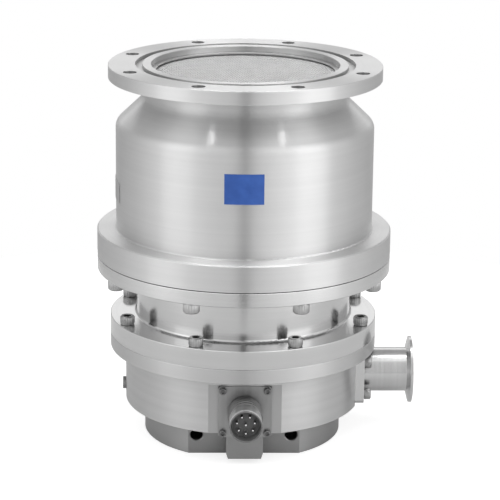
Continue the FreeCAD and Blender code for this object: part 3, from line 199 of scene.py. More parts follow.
# Fine grooves round the pump's axis: rings on flat faces, hoops on walls.
def makeLatheLines():
    tree, groupIn, groupOut = newGroup(
        "latheLines", {"Pitch": 0.0006, "Drift": 0.4}, {"Height": "Float", "Bands": "Float"})
    point = place(tree, "TexCoord").outputs["Object"]
    parts = place(tree, "SeparateXYZ", {"Vector": point})
    square = sums(tree, "MULTIPLY", parts.outputs["X"], parts.outputs["X"])
    radius = sums(tree, "SQRT", sums(tree, "MULTIPLY_ADD", parts.outputs["Y"], parts.outputs["Y"], square))
    wander = sums(tree, "MULTIPLY", sums(tree, "ADD", parts.outputs["X"], parts.outputs["Y"]),
                  groupIn.outputs["Drift"])
    layers = []
    for factor, detail in effects["latheLayers"]:
        pitch = sums(tree, "MULTIPLY", groupIn.outputs["Pitch"], factor)
        rings = sums(tree, "DIVIDE", radius, pitch)
        hoops = sums(tree, "DIVIDE", parts.outputs["Z"], pitch)
        layers.append(grooveLayer(tree, rings, hoops, wander, detail))
    return finishGrooves(tree, groupOut, *layers)


# Straight milled or brushed lines along one axis of the piece, or hoops round one on its walls.
def makeStraightLines():
    tree, groupIn, groupOut = newGroup(
        "straightLines", {"Pitch": 0.0005, "Along X": 1.0, "Along Y": 1.0, "Along Z": 1.0},
        {"Height": "Float", "Bands": "Float"})
    point = place(tree, "TexCoord").outputs["Object"]
    parts = place(tree, "SeparateXYZ", {"Vector": point})
    layers = []
    for factor, detail in effects["straightLayers"]:
        pitch = sums(tree, "MULTIPLY", groupIn.outputs["Pitch"], factor)
        stretched = []
        for axis in "XYZ":
            scaled = sums(tree, "MULTIPLY", parts.outputs[axis], groupIn.outputs["Along " + axis])
            stretched.append(sums(tree, "DIVIDE", scaled, pitch))
        layers.append(grooveLayer(tree, *stretched, detail))
    return finishGrooves(tree, groupOut, *layers)


# Even grain, for rubber, plastic, blasted metal and foil.
def makeGrain():
    tree, groupIn, groupOut = newGroup("grain", {"Size": 0.0004}, {"Height": "Float", "Patches": "Float"})
    point = place(tree, "TexCoord").outputs["Object"]
    scale = sums(tree, "DIVIDE", 1.0, groupIn.outputs["Size"])
    wideScale = sums(tree, "MULTIPLY", scale, effects["patchScale"])
    fine = place(tree, "TexNoise", {"Vector": point, "Scale": scale, "Detail": 3.0})
    wide = place(tree, "TexNoise", {"Vector": point, "Scale": wideScale, "Detail": 3.0})
    return finishGroup(tree, groupOut, {
        "Height": fine.outputs["Fac"], "Patches": spread(tree, wide.outputs["Fac"], *effects["patchRange"])})


# Broken edges: a rounded normal and a mask that is 1 along an edge.
def makeEdges():
    tree, groupIn, groupOut = newGroup("edges", {"Radius": 0.0004}, {"Normal": "Vector", "Edge": "Float"})
    bevel = place(tree, "Bevel", {"Radius": groupIn.outputs["Radius"]}, samples=6)
    flat = place(tree, "NewGeometry").outputs["Normal"]
    meeting = place(tree, "VectorMath", {0: bevel.outputs[0], 1: flat}, operation="DOT_PRODUCT")
    edge = spread(tree, meeting.outputs["Value"], *effects["edgeRange"])
    return finishGroup(tree, groupOut, {"Normal": bevel.outputs[0], "Edge": edge})


# Handling marks: wide soft patches with a few finer ones.
def makeSmudges():
    tree, groupIn, groupOut = newGroup("smudges", {"Size": 0.06}, {"Mask": "Float"})
    point = place(tree, "TexCoord").outputs["Object"]
    scale = sums(tree, "DIVIDE", 1.0, groupIn.outputs["Size"])
    noise = place(tree, "TexNoise", {
        "Vector": point, "Scale": scale, "Detail": 4.0, "Roughness": 0.55, "Distortion": 0.4})
    return finishGroup(tree, groupOut, {"Mask": spread(tree, noise.outputs["Fac"], *effects["smudgeRange"])})


# Painted shade: a mask that is 1 in the open and falls towards 0 in holes, sockets and corners, where the
# colour is darkened to stand in for the shade there.
def makePaintedShadeGroup():
    tree, groupIn, groupOut = newGroup("paintedShadeGroup", {"Depth": 0.02}, {"Open": "Float"})
    shade = place(tree, "AmbientOcclusion", {"Distance": groupIn.outputs["Depth"]}, samples=8)
    return finishGroup(tree, groupOut, {"Open": spread(tree, shade.outputs["AO"], *effects["openRange"])})


latheLines = makeLatheLines()
straightLines = makeStraightLines()
grain = makeGrain()
edges = makeEdges()
smudges = makeSmudges()
paintedShadeGroup = makePaintedShadeGroup()
print("shared effects made")


def grey(level):
    return (level, level, level, 1)


def newMaterial(name):
    material = bpy.data.materials.new(name)
    material.use_nodes = True
    material.node_tree.nodes.clear()
    return material, material.node_tree


# Metals and plain skins start and end alike: with one shader, fed with colour, roughness and relief.
def newSkin(name):
    material, tree = newMaterial(name)
    shader = place(tree, "BsdfPrincipled")
    tree.links.new(shader.outputs[0], place(tree, "OutputMaterial").inputs["Surface"])
    return material, tree, shader


def feedSkin(tree, shader, look, colour, rough, lines, rounded):
    bump = place(tree, "Bump", {
        "Height": lines.outputs["Height"], "Normal": rounded.outputs["Normal"],
        "Strength": look["relief"], "Distance": look["pitch"]})
    for label, socket in (("Base Color", colour), ("Roughness", rough), ("Normal", bump.outputs[0])):
        tree.links.new(socket, shader.inputs[label])


# What a metal has where its own look says nothing else.
metalLook = {
    "lines": "round",          # round the pump's axis, "hoops" round X, along an axis, or "grain"
    "edge": 0.0004,            # metres, radius of broken edges
    "smudge": 0.06,            # metres, size of the handling marks
    # The next two paint shade in holes, sockets and corners: how far cover is looked for, and the painted
    # shade colour.
    "hollow": 0.03,            # metres, how far recesses are looked for
    "shade": grey(0.12),       # colour in recesses
    "banding": 0.04,           # roughness that the grooves' bands add
    "stretch": 0.0,            # how far reflections are drawn out across the grooves
}


def addLines(tree, shader, look):
    lined = look["lines"]
    if lined == "grain":
        return useGroup(tree, grain, {"Size": look["pitch"]})
    if lined in ("round", "hoops"):
        tangent = place(tree, "Tangent", direction_type="RADIAL", axis="Z" if lined == "round" else "X")
        tree.links.new(tangent.outputs[0], shader.inputs["Tangent"])
    if lined == "round":
        return useGroup(tree, latheLines, {"Pitch": look["pitch"]})
    smooth = "YZ" if lined == "hoops" else lined
    along = {"Along " + axis: effects["alongGroove"] if axis in smooth else 1.0 for axis in "XYZ"}
    return useGroup(tree, straightLines, {"Pitch": look["pitch"], **along})


# Painted shade: the foot is painted darker than the body, for the shade under the body, and the flats milled
# at the front are painted darker than what is turned, partly for their duller milled finish and partly as a
# painted dark reflection.
def paintFootShadeAndFlats(tree, look, colour):
    spot = place(tree, "TexCoord")
    point = place(tree, "SeparateXYZ", {"Vector": spot.outputs["Object"]})
    facing = place(tree, "SeparateXYZ", {"Vector": spot.outputs["Normal"]})
    level, plane, blend = look["footLevel"], look["flatPlane"], look["footBlend"]
    above = spread(tree, point.outputs["Z"], level - blend, level + blend)
    turned = blendColours(tree, above, look["footShadeColour"], colour)
    milled = blendColours(tree, above, look["footFlatShadeColour"], look["flatMilledAndShadeColour"])
    front = spread(tree, facing.outputs["Y"], *look["frontRange"])
    behind = spread(tree, point.outputs["Y"], plane - 2 * blend, plane - blend)
    return blendColours(tree, sums(tree, "MULTIPLY", front, behind), turned, milled)


# Painted shade: the bore is painted darker than the outside, and the walls of the inlet flange's bolt holes
# darker still, for the shade inside them.
def paintBoreShade(tree, look, colour):
    spot = place(tree, "TexCoord")
    point = place(tree, "SeparateXYZ", {"Vector": spot.outputs["Object"]})
    flat = place(tree, "CombineXYZ", {"X": point.outputs["X"], "Y": point.outputs["Y"]}).outputs[0]
    away = place(tree, "VectorMath", {0: flat}, operation="NORMALIZE").outputs[0]
    facing = place(tree, "VectorMath", {0: away, 1: spot.outputs["Normal"]}, operation="DOT_PRODUCT")
    bore = spread(tree, facing.outputs["Value"], *look["boreRange"])
    colour = blendColours(tree, bore, colour, look["boreShadeColour"])
    radius = place(tree, "VectorMath", {0: flat}, operation="LENGTH").outputs["Value"]
    inner, outer = look["holeRing"]
    ring = sums(tree, "MULTIPLY", sums(tree, "GREATER_THAN", radius, inner),
                sums(tree, "LESS_THAN", radius, outer))
    half = look["holeDepth"] / 2
    inside = sums(tree, "COMPARE", point.outputs["Z"], look["holeTop"] - half, half)
    return blendColours(tree, sums(tree, "MULTIPLY", ring, inside), colour, look["holeShadeColour"])


# Machined metal. Grooves tint it and draw out its reflections, edges are brighter, smudges make it duller,
# its colour is darkened as painted shade in holes, sockets and corners, and a given painter adds painted
# shade on chosen surfaces such as the bore and the foot.
def machinedMetal(name, settings, paintShade=None):
    look = {**metalLook, **settings}
    material, tree, shader = newSkin(name)
    lines = addLines(tree, shader, look)
    rounded = useGroup(tree, edges, {"Radius": look["edge"]})
    marks = useGroup(tree, smudges, {"Size": look["smudge"]})
    # Painted shade: colour darkened in holes, sockets and corners.
    hollows = useGroup(tree, paintedShadeGroup, {"Depth": look["hollow"]})
    bands = lines.outputs[1]    # of the grooves, or the grain's patches
    colour = blendColours(tree, bands, look["dark"], look["light"])
    colour = blendColours(tree, rounded.outputs["Edge"], colour, look["worn"])
    # Painted shade on chosen surfaces, such as the bore and the foot.
    if paintShade:
        colour = paintShade(tree, look, colour)
    colour = blendColours(tree, hollows.outputs["Open"], look["shade"], colour)
    rough = sums(tree, "MULTIPLY_ADD", marks.outputs["Mask"], look["dulling"], look["roughness"])
    rough = sums(tree, "MULTIPLY_ADD", bands, look["banding"], rough)
    feedSkin(tree, shader, look, colour, rough, lines, rounded)
    shader.inputs["Metallic"].default_value = 1.0
    shader.inputs["Anisotropic"].default_value = look["stretch"]
    shader.inputs["Anisotropic Rotation"].default_value = 0.25    # across the grooves
    return material


# Rubber, plastic, resin, ceramic and printed foil.
def plainSkin(name, settings):
    look = {"edge": 0.0003, **settings}
    material, tree, shader = newSkin(name)
    lines = useGroup(tree, grain, {"Size": look["pitch"]})
    rounded = useGroup(tree, edges, {"Radius": look["edge"]})
    patches = lines.outputs["Patches"]
    colour = blendColours(tree, patches, look["dark"], look["light"])
    colour = blendColours(tree, rounded.outputs["Edge"], colour, look["worn"])
    rough = sums(tree, "MULTIPLY_ADD", patches, look["dulling"], look["roughness"])
    feedSkin(tree, shader, look, colour, rough, lines, rounded)
    return material


# Pitch is the grooves' or the grain's, in metres. Dark and light are the grooves' two tints. Shade is
# painted shade in holes, sockets and corners.
finishes = {
    "casing_steel": machinedMetal("turnedCasingSteel", {
        "pitch": 0.0005, "dark": grey(0.73), "light": grey(0.76), "worn": grey(0.95),
        "roughness": 0.37, "dulling": 0.02, "banding": 0.01, "relief": 0.05, "stretch": 1.0,
        # Painted shade in the bore, and darker painted shade on the walls of the bolt holes.
        "boreShadeColour": grey(0.56),
        "boreRange": (-0.5, -0.8),             # how squarely a face looks at the axis
        "holeShadeColour": grey(0.38),
        "holeRing": (0.126, 0.144),            # radii between which the bolt holes lie
        "holeTop": cadBox[1].z - 0.0002,       # just under the inlet flange's top face
        "holeDepth": 0.02,
        "smudge": 0.09}, paintBoreShade),
    "spool_steel": machinedMetal("polishedSpoolSteel", {
        "pitch": 0.0004, "dark": grey(0.65), "light": grey(0.68), "worn": grey(0.95),
        "roughness": 0.15, "dulling": 0.02, "banding": 0.01, "relief": 0.03, "stretch": 0.75,
        # Painted shade in holes, sockets and corners, set lighter here.
        "hollow": 0.01, "shade": grey(0.35), "smudge": 0.07}),
    "base_aluminium": machinedMetal("turnedBaseAluminium", {
        "pitch": 0.0007, "dark": grey(0.61), "light": grey(0.65), "worn": grey(0.88),
        "roughness": 0.4, "dulling": 0.03, "banding": 0.01, "relief": 0.06, "stretch": 0.9,
        # Painted shade on the foot, for the shade under the body.
        "footShadeColour": grey(0.45),
        "footLevel": 0.036,                    # where the foot meets the body
        "footBlend": 0.0002,
        # The front flats are darker, partly for their duller milling and partly as a painted dark
        # reflection, and darker still as painted shade on the foot.
        "flatMilledAndShadeColour": grey(0.58),
        "footFlatShadeColour": grey(0.44),
        "flatPlane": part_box("connector_plate")[1][1],      # the front flats lie here or behind
        "frontRange": (-0.998, -0.9995),       # how squarely a face looks to the front
        "smudge": 0.05}, paintFootShadeAndFlats),
    "screen_wire": machinedMetal("screenWire", {
        "lines": "grain", "pitch": 0.0003, "dark": grey(0.74), "light": grey(0.82), "worn": grey(0.9),
        # Painted shade near crossings and nearby parts, set light.
        "roughness": 0.42, "dulling": 0.08, "relief": 0.05, "shade": grey(0.6)}),
    "spring_steel": machinedMetal("springSteel", {
        "pitch": 0.0004, "dark": grey(0.6), "light": grey(0.72), "worn": grey(0.9),
        "roughness": 0.26, "dulling": 0.05, "relief": 0.05, "stretch": 0.5}),
    "fastener_steel": machinedMetal("fastenerSteel", {
        "lines": "grain", "pitch": 0.0003, "dark": grey(0.3), "light": grey(0.44), "worn": grey(0.8),
        "roughness": 0.25, "dulling": 0.12, "relief": 0.12, "edge": 0.0003, "hollow": 0.009,
        "smudge": 0.008}),
    "bright_screws": machinedMetal("brightScrew", {
        "lines": "grain", "pitch": 0.0003, "dark": grey(0.42), "light": grey(0.55), "worn": grey(0.8),
        "roughness": 0.3, "dulling": 0.1, "relief": 0.1, "edge": 0.0003, "hollow": 0.009,
        "smudge": 0.008}),
    "dark_screws": machinedMetal("dulledScrew", {
        "lines": "grain", "pitch": 0.0003, "dark": grey(0.2), "light": grey(0.26), "worn": grey(0.38),
        "roughness": 0.35, "dulling": 0.06, "relief": 0.1, "edge": 0.0002, "hollow": 0.009,
        "smudge": 0.008}),
    "port_steel": machinedMetal("portSteel", {
        "lines": "hoops", "pitch": 0.0004, "dark": grey(0.66), "light": grey(0.7), "worn": grey(0.95),
        "roughness": 0.22, "dulling": 0.02, "banding": 0.01, "relief": 0.04, "stretch": 0.6,
        "hollow": 0.012, "smudge": 0.05}),
    "plate_aluminium": machinedMetal("milledAluminium", {
        "lines": "Z", "pitch": 0.0005, "dark": grey(0.34), "light": grey(0.4), "worn": grey(0.6),
        "roughness": 0.38, "dulling": 0.08, "relief": 0.08, "hollow": 0.02, "smudge": 0.03}),
    "shell_metal": machinedMetal("platedShell", {
        "lines": "grain", "pitch": 0.0003, "dark": grey(0.16), "light": grey(0.21), "worn": grey(0.34),
        "roughness": 0.36, "dulling": 0.06, "relief": 0.06, "hollow": 0.008, "smudge": 0.015}),
    "collar_metal": machinedMetal("turnedCollar", {
        "lines": "grain", "pitch": 0.0003, "dark": grey(0.66), "light": grey(0.72), "worn": grey(0.85),
        "roughness": 0.3, "dulling": 0.05, "relief": 0.05, "hollow": 0.008, "smudge": 0.015}),
    "pin_metal": machinedMetal("platedPin", {
        "lines": "grain", "pitch": 0.0002, "dark": grey(0.8), "light": grey(0.88), "worn": grey(0.95),
        "roughness": 0.2, "dulling": 0.05, "relief": 0.03, "edge": 0.0002}),
    "nameplate_foil": machinedMetal("nameplateFoil", {
        "lines": "Y", "pitch": 0.0004, "dark": grey(0.5), "light": grey(0.56), "worn": grey(0.8),
        "roughness": 0.34, "dulling": 0.04, "relief": 0.04, "smudge": 0.03}),
    "rotor_aluminium": machinedMetal("rotorAluminium", {
        "pitch": 0.0005, "dark": grey(0.5), "light": grey(0.62), "worn": grey(0.8),
        "roughness": 0.3, "dulling": 0.06, "relief": 0.05}),
    "stator_aluminium": machinedMetal("statorAluminium", {
        "pitch": 0.0005, "dark": grey(0.5), "light": grey(0.6), "worn": grey(0.8),
        "roughness": 0.34, "dulling": 0.06, "relief": 0.05}),
    "shaft_steel": machinedMetal("shaftSteel", {
        "pitch": 0.0003, "dark": grey(0.5), "light": grey(0.58), "worn": grey(0.8),
        "roughness": 0.18, "dulling": 0.05, "relief": 0.04}),
    "magnet_alloy": machinedMetal("magnetAlloy", {
        "lines": "grain", "pitch": 0.0004, "dark": grey(0.32), "light": grey(0.42), "worn": grey(0.6),
        "roughness": 0.4, "dulling": 0.08, "relief": 0.1}),
    "core_steel": machinedMetal("laminatedCore", {
        "lines": "X", "pitch": 0.0005, "dark": grey(0.22), "light": grey(0.34), "worn": grey(0.5),
        "roughness": 0.42, "dulling": 0.06, "relief": 0.15}),
    "coil_copper": machinedMetal("coilCopper", {
        "lines": "Z", "pitch": 0.0007, "dark": (0.5, 0.2, 0.08, 1), "light": (0.72, 0.33, 0.15, 1),
        "worn": (0.85, 0.5, 0.3, 1), "roughness": 0.3, "dulling": 0.08, "relief": 0.4}),
    "bearing_steel": machinedMetal("bearingSteel", {
        "pitch": 0.0002, "dark": grey(0.55), "light": grey(0.62), "worn": grey(0.8),
        "roughness": 0.14, "dulling": 0.03, "relief": 0.02}),
    "seal_rubber": plainSkin("sealRubber", {
        "pitch": 0.0004, "dark": grey(0.012), "light": grey(0.024), "worn": grey(0.03),
        "roughness": 0.5, "dulling": 0.15, "relief": 0.2}),
    "insert_plastic": plainSkin("insertPlastic", {
        "pitch": 0.0004, "dark": grey(0.12), "light": grey(0.17), "worn": grey(0.24),
        "roughness": 0.42, "dulling": 0.12, "relief": 0.15}),
    "sensor_resin": plainSkin("sensorResin", {
        "pitch": 0.0006, "dark": (0.02, 0.07, 0.05, 1), "light": (0.03, 0.1, 0.07, 1),
        "worn": (0.05, 0.15, 0.11, 1), "roughness": 0.4, "dulling": 0.1, "relief": 0.15}),
    "ball_ceramic": plainSkin("ballCeramic", {
        "pitch": 0.0002, "dark": grey(0.05), "light": grey(0.07), "worn": grey(0.09),
        "roughness": 0.12, "dulling": 0.03, "relief": 0.02}),
    "label_foil": plainSkin("labelFoil", {
        "pitch": 0.0005, "dark": (0.022, 0.088, 0.36, 1), "light": (0.035, 0.12, 0.45, 1),
        "worn": (0.05, 0.18, 0.55, 1), "roughness": 0.38, "dulling": 0.08, "relief": 0.05}),
}
print("materials made,", len(finishes))


# Every CAD node takes the finish of its own slot in the record.
def dressNodes():
    slots = {entry["node"]: entry["material_slot"] for entry in frame["record"]["subparts"]}
    for name, node in nodes.items():
        node.data.materials.clear()
        node.data.materials.append(finishes[slots[name]])
    return slots


slotOf = dressNodes()
print("CAD nodes dressed")


# How exactly sizes are read from the CAD meshes. Distances are in metres.
reading = {
    "weld": 1e-5,              # points closer than this are one
    "slack": 1e-4,             # points closer than this lie at one level or one radius
    "rim": 0.95,               # share of its radius from which a point lies on a screw head's rim
}


# Meshes are gathered as lists of points and faces, in metres, in the pump's own frame.
def joinRings(points, faces, rings, closed=True):
    first = len(points)
    count = len(rings[0])
    for ring in rings:
        points.extend(ring)
    for row in range(len(rings) - 1):
        for k in range(count):
            here = first + row * count + k
            following = first + row * count + (k + 1) % count
            faces.append((here, following, following + count, here + count))
    if closed:
        faces.append(tuple(reversed(range(first, first + count))))
        faces.append(tuple(range(len(points) - count, len(points))))


def sideways(outward):
    # Two directions across an axis, square to each other.
    helper = Vector((0, 0, 1)) if abs(outward.z) < 0.9 else Vector((1, 0, 0))
    across = outward.cross(helper).normalized()
    return across, outward.cross(across).normalized()


def ringAt(centre, outward, radius, count, wave=0.0, corners=0, turn=0.0):
    # A ring of points: plain, with a wave from point to point, or on a turned polygon with corners.
    across, up = sideways(outward)
    ring = []
    for k in range(count):
        angle = 2 * math.pi * k / count
        reach = radius + (wave if k % 2 else 0.0)
        if corners:
            sector = 2 * math.pi / corners
            local = (angle - turn) % sector - sector / 2
            reach = radius * math.cos(sector / 2) / math.cos(local)
        ring.append(centre + across * (reach * math.cos(angle)) + up * (reach * math.sin(angle)))
    return ring


def turnedShape(points, faces, base, outward, profile, count, closed=True):
    # A turned shape whose profile is given as pairs of radius and distance along the axis.
    rings = [ringAt(base + outward * along, outward, radius, count) for radius, along in profile]
    joinRings(points, faces, rings, closed)


def newPiece(name, points, faces, finish, replaced, sharp):
    # Edges sharper than sharp, in degrees, stay crisp.
    mesh = bpy.data.meshes.new(name)
    mesh.from_pydata([tuple(point) for point in points], [], faces)
    shape = bmesh.new()
    shape.from_mesh(mesh)
    bmesh.ops.recalc_face_normals(shape, faces=shape.faces)
    shape.to_mesh(mesh)
    shape.free()
    mesh.shade_smooth()
    mesh.set_sharp_from_angle(angle=math.radians(sharp))
    mesh.materials.append(finishes[finish])
    piece = bpy.data.objects.new(name, mesh)
    scene.collection.objects.link(piece)
    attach(piece, body_of(nodes[replaced])[0])
    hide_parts(replaced)
    return piece


def solidsOf(name):
    # The separate solids of a CAD node, each as a list of points.
    shape = bmesh.new()
    shape.from_mesh(nodes[name].data)
    bmesh.ops.remove_doubles(shape, verts=shape.verts, dist=reading["weld"])
    left = set(shape.verts)
    found = []
    for start in shape.verts:
        if start not in left:
            continue
        left.remove(start)
        group, waiting = [start], [start]
        while waiting:
            point = waiting.pop()
            for edge in point.link_edges:
                other = edge.other_vert(point)
                if other in left:
                    left.remove(other)
                    group.append(other)
                    waiting.append(other)
        found.append([point.co.copy() for point in group])
    shape.free()
    return found


def measureRod(solid, outward):
    # A screw's or pin's middle line, its top, seat and foot along it, and its head's and shank's radii.
    levels = [point.dot(outward) for point in solid]
    flat = [point - outward * level for point, level in zip(solid, levels)]
    low = Vector([min(point[k] for point in flat) for k in range(3)])
    high = Vector([max(point[k] for point in flat) for k in range(3)])
    middle = (low + high) / 2
    reaches = [(point - middle).length for point in flat]
    top, foot, radius = max(levels), min(levels), max(reaches)
    seat = min(level for level, reach in zip(levels, reaches) if reach > reading["rim"] * radius)
    shank = max(reach for level, reach in zip(levels, reaches) if level < foot + reading["slack"])
    return {"middle": middle, "top": top, "seat": seat, "foot": foot, "radius": radius, "shank": shank}


# Socket cap screws. Places and main sizes are taken from the CAD screws, the rest are shares.
capScrews = {
    "ridges": 24,              # knurls round the head
    "knurlDepth": 0.07,        # of the head's radius, as the next five are
    "knurlStart": 0.16,
    "footBreak": 0.06,
    "topBreak": 0.1,
    "socketRadius": 0.62,      # to the hexagon's corners
    "socketDepth": 1.1,
    "socketDeepest": 0.62,     # of the head's height
    "socketMouth": 0.04,       # of the socket's radius, as the next three are
    "socketTip": 0.35,
    "socketFloor": 0.8,
    "socketPoint": 0.05,
    "shankTip": (0.8, 0.25),   # of the shank's radius: how wide its tip ends, and over what length
    "socketTurns": (7, 12),    # half ridges from one screw's socket to the next, and where that starts again
    "sharp": 35,
    "sets": {
        # CAD node: the way its heads face, and their finish
        "casing_screws": ((0, 0, -1), "bright_screws"),
        "base_screws": ((0, 0, 1), "fastener_steel"),
        "cover_screws": ((0, 0, -1), "fastener_steel"),
        "exhaust_screws": ((1, 0, 0), "fastener_steel"),
        "connector_screws": ((0, -1, 0), "dark_screws"),
        "column_screws": ((0, 0, 1), "fastener_steel"),
        "rotor_screws": ((0, 0, 1), "fastener_steel")},
}


def addScrew(points, faces, solid, outward, shift):
    look = capScrews
    screw = measureRod(solid, outward)
    top, seat, foot, radius, shank = (screw[key] for key in ("top", "seat", "foot", "radius", "shank"))
    count = 2 * look["ridges"]
    knurl = look["knurlDepth"] * radius
    core = radius - knurl
    knurlFoot = seat + look["knurlStart"] * radius
    knurlTop = top - look["topBreak"] * radius
    tipShare, tipLength = look["shankTip"]
    mouth = look["socketRadius"] * radius
    inside = mouth * (1 - look["socketMouth"])
    floor = top - min(look["socketDepth"] * radius, look["socketDeepest"] * (top - seat))
    outline = [
        # level, radius, wave
        (foot, shank * tipShare, 0.0),
        (foot + shank * tipLength, shank, 0.0),
        (seat, shank, 0.0),
        (seat, radius * (1 - look["footBreak"]) - knurl, 0.0),
        (seat + look["footBreak"] * radius, core, 0.0),
        (knurlFoot, core, 0.0),
        (knurlFoot + knurl, core, knurl),
        (knurlTop - knurl, core, knurl),
        (knurlTop, core, 0.0),
        (top, radius * (1 - look["topBreak"]) - knurl, 0.0),
    ]
    hexagon = [(top, mouth), (top - mouth * look["socketMouth"], inside), (floor, inside)]
    ending = [(floor, inside * look["socketFloor"]),
              (floor - inside * look["socketTip"], inside * look["socketPoint"])]
    turn = 2 * math.pi * shift / count

    def ringOn(level, reach, **shape):
        return ringAt(screw["middle"] + outward * level, outward, reach, count, **shape)

    rings = [ringOn(level, reach, wave=wave) for level, reach, wave in outline]
    rings += [ringOn(level, reach, corners=6, turn=turn) for level, reach in hexagon]
    rings += [ringOn(level, reach) for level, reach in ending]
    joinRings(points, faces, rings)


def makeScrews():
    step, restart = capScrews["socketTurns"]
    for name, (outward, finish) in capScrews["sets"].items():
        points, faces = [], []
        for k, solid in enumerate(solidsOf(name)):
            addScrew(points, faces, solid, Vector(outward), step * k % restart)
        newPiece(name + "_detailed", points, faces, finish, name, capScrews["sharp"])


makeScrews()
print("screws made")


# The inlet screen is crimped wire, woven askew to the pump's front.
screenWeave = {
    "pitch": 0.003,
    "wireRadius": 0.00036,
    "angle": 72.0,             # degrees, of the first wires
    "sides": 4,
    "bend": 0.25,              # of the pitch, from a crossing to where the wire bends
}


def makeScreen():
    low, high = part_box("inlet_screen")
    pitch, radius, bend = screenWeave["pitch"], screenWeave["wireRadius"], screenWeave["bend"]
    middle = (low[2] + high[2]) / 2
    lift = (high[2] - low[2]) / 2 - radius
    reach = (high[0] - low[0]) / 2 - radius
    total = int(reach / pitch)
    points, faces = [], []
    for family, angle in enumerate((screenWeave["angle"], screenWeave["angle"] - 90)):
        way = Vector((math.cos(math.radians(angle)), math.sin(math.radians(angle)), 0))
        across = Vector((-way.y, way.x, 0))
        for row in range(-total, total + 1):
            offset = row * pitch
            steps = int(math.sqrt(reach * reach - offset * offset) / pitch - bend)
            if steps < 1:
                continue
            rings = []
            for crossing in range(-steps, steps + 1):
                side = 1 if (crossing + row + family) % 2 else -1
                for part in (-bend, bend):
                    point = way * ((crossing + part) * pitch) + across * offset
                    point.z = middle + side * lift
                    rings.append(ringAt(point, way, radius, screenWeave["sides"]))
            joinRings(points, faces, rings)
    newPiece("woven_screen", points, faces, "screen_wire", "inlet_screen", sharp=180)


makeScreen()
print("screen woven")


# Panel connector: ringed boss, collar with a groove, moulded insert and rounded pins.
connector = {
    "bossRings": 4,
    "ringDepth": 0.0011,
    "ringShape": ((0.15, 1), (0.35, 0), (0.75, 0), (0.95, 1)),   # shares of a ring's width, and of its depth
    "rimBreak": 0.0005,        # of the collar's rim, and the depth of its groove
    "grooveFromMouth": 0.0035,
    "grooveWidth": 0.0012,
    "grooveShape": ((1.0, 0), (0.7, 1), (0.3, 1), (0.0, 0)),     # shares of its width, and of its depth
    "insertGap": 0.0001,       # between insert and shell
    "ribHeight": 0.0008,       # of the insert's rim
    "ribShares": (0.93, 0.91),                                   # of the bore's radius, at its top and foot
    "hubRadius": 0.0004,       # where the faces of the insert's ground meet
    "collarRadius": 0.0022,    # raised collar round each pin
    "collarHeight": 0.0014,
    "collarRoot": 0.0005,      # how far it reaches below the insert's ground
    "collarShape": ((0.9, 1.0), (1.0, 0.8)),                     # shares of its radius, and of its height
    "pinFit": 1.02,            # of the pin's radius, in its collar
    "pinTip": 0.0009,
    "tipShape": ((1.0, 1.0), (0.88, 0.55), (0.6, 0.2), (0.25, 0.0)),     # shares of radius and of tip
    "sides": {"shell": 128, "insert": 96, "collar": 32, "pin": 24},
}


def makeShell(outward, centre, bore):
    look = connector
    low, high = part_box("connector_shell")
    back, mouth = -high[1], -low[1]
    spots = [vertex.co for vertex in nodes["connector_shell"].data.vertices]
    reaches = [math.hypot(spot.x - centre.x, spot.z - centre.z) for spot in spots]
    boss = max(reaches)
    bossEnd = max(-spot.y for spot, reach in zip(spots, reaches) if reach > boss - reading["slack"])
    wall = max(reach for spot, reach in zip(spots, reaches) if -spot.y > mouth - reading["slack"])
    sunk = boss - look["ringDepth"]
    edge = look["rimBreak"]
    groove = mouth - look["grooveFromMouth"]

    profile = [(bore, back), (sunk, back)]
    step = (bossEnd - back) / look["bossRings"]
    for k in range(look["bossRings"]):
        for share, depth in look["ringShape"]:
            profile.append((boss - depth * look["ringDepth"], back + (k + share) * step))
    profile += [(sunk, bossEnd), (wall, bossEnd)]
    for share, depth in look["grooveShape"]:
        profile.append((wall - depth * edge, groove - share * look["grooveWidth"]))
    profile += [(wall, mouth - edge), (wall - edge, mouth), (bore + edge, mouth), (bore, mouth - edge),
                (bore, back)]

    points, faces = [], []
    turnedShape(points, faces, centre, outward, profile, look["sides"]["shell"], closed=False)
    piece = newPiece("connector_shell_detailed", points, faces, "shell_metal", "connector_shell", sharp=25)
    for finish in ("insert_plastic", "collar_metal"):
        piece.data.materials.append(finishes[finish])
    for polygon in piece.data.polygons:
        offset = polygon.center - centre
        if math.hypot(offset.x, offset.z) < bore + edge / 2:
            polygon.material_index = 1
        elif bossEnd + reading["weld"] < -polygon.center.y < mouth - edge:
            polygon.material_index = 2


def makePins(outward, pins):
    tip = connector["pinTip"]
    points, faces = [], []
    for pin in pins:
        profile = [(pin["radius"], pin["foot"])]
        profile += [(pin["radius"] * wide, pin["top"] - tip * back) for wide, back in connector["tipShape"]]
        turnedShape(points, faces, pin["middle"], outward, profile, connector["sides"]["pin"])
    newPiece("connector_pins_rounded", points, faces, "pin_metal", "connector_pins", sharp=60)


def makeInsert(outward, centre, bore, pins):
    look = connector
    low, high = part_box("connector_insert")
    start, face = -high[1], -low[1]
    outer = bore - look["insertGap"]
    ground = face - look["ribHeight"]
    ribTop, ribFoot = look["ribShares"]
    points, faces = [], []
    turnedShape(points, faces, centre, outward, [
        (outer, start), (outer, face), (bore * ribTop, face), (bore * ribFoot, ground),
        (look["hubRadius"], ground)], look["sides"]["insert"])
    radius, height = look["collarRadius"], look["collarHeight"]
    for pin in pins:
        profile = [(pin["radius"] * look["pinFit"], ground + height)]
        profile += [(radius * wide, ground + height * tall) for wide, tall in look["collarShape"]]
        profile.append((radius, ground - look["collarRoot"]))
        turnedShape(points, faces, pin["middle"], outward, profile, look["sides"]["collar"], closed=False)
    newPiece("connector_insert_moulded", points, faces, "insert_plastic", "connector_insert", sharp=30)


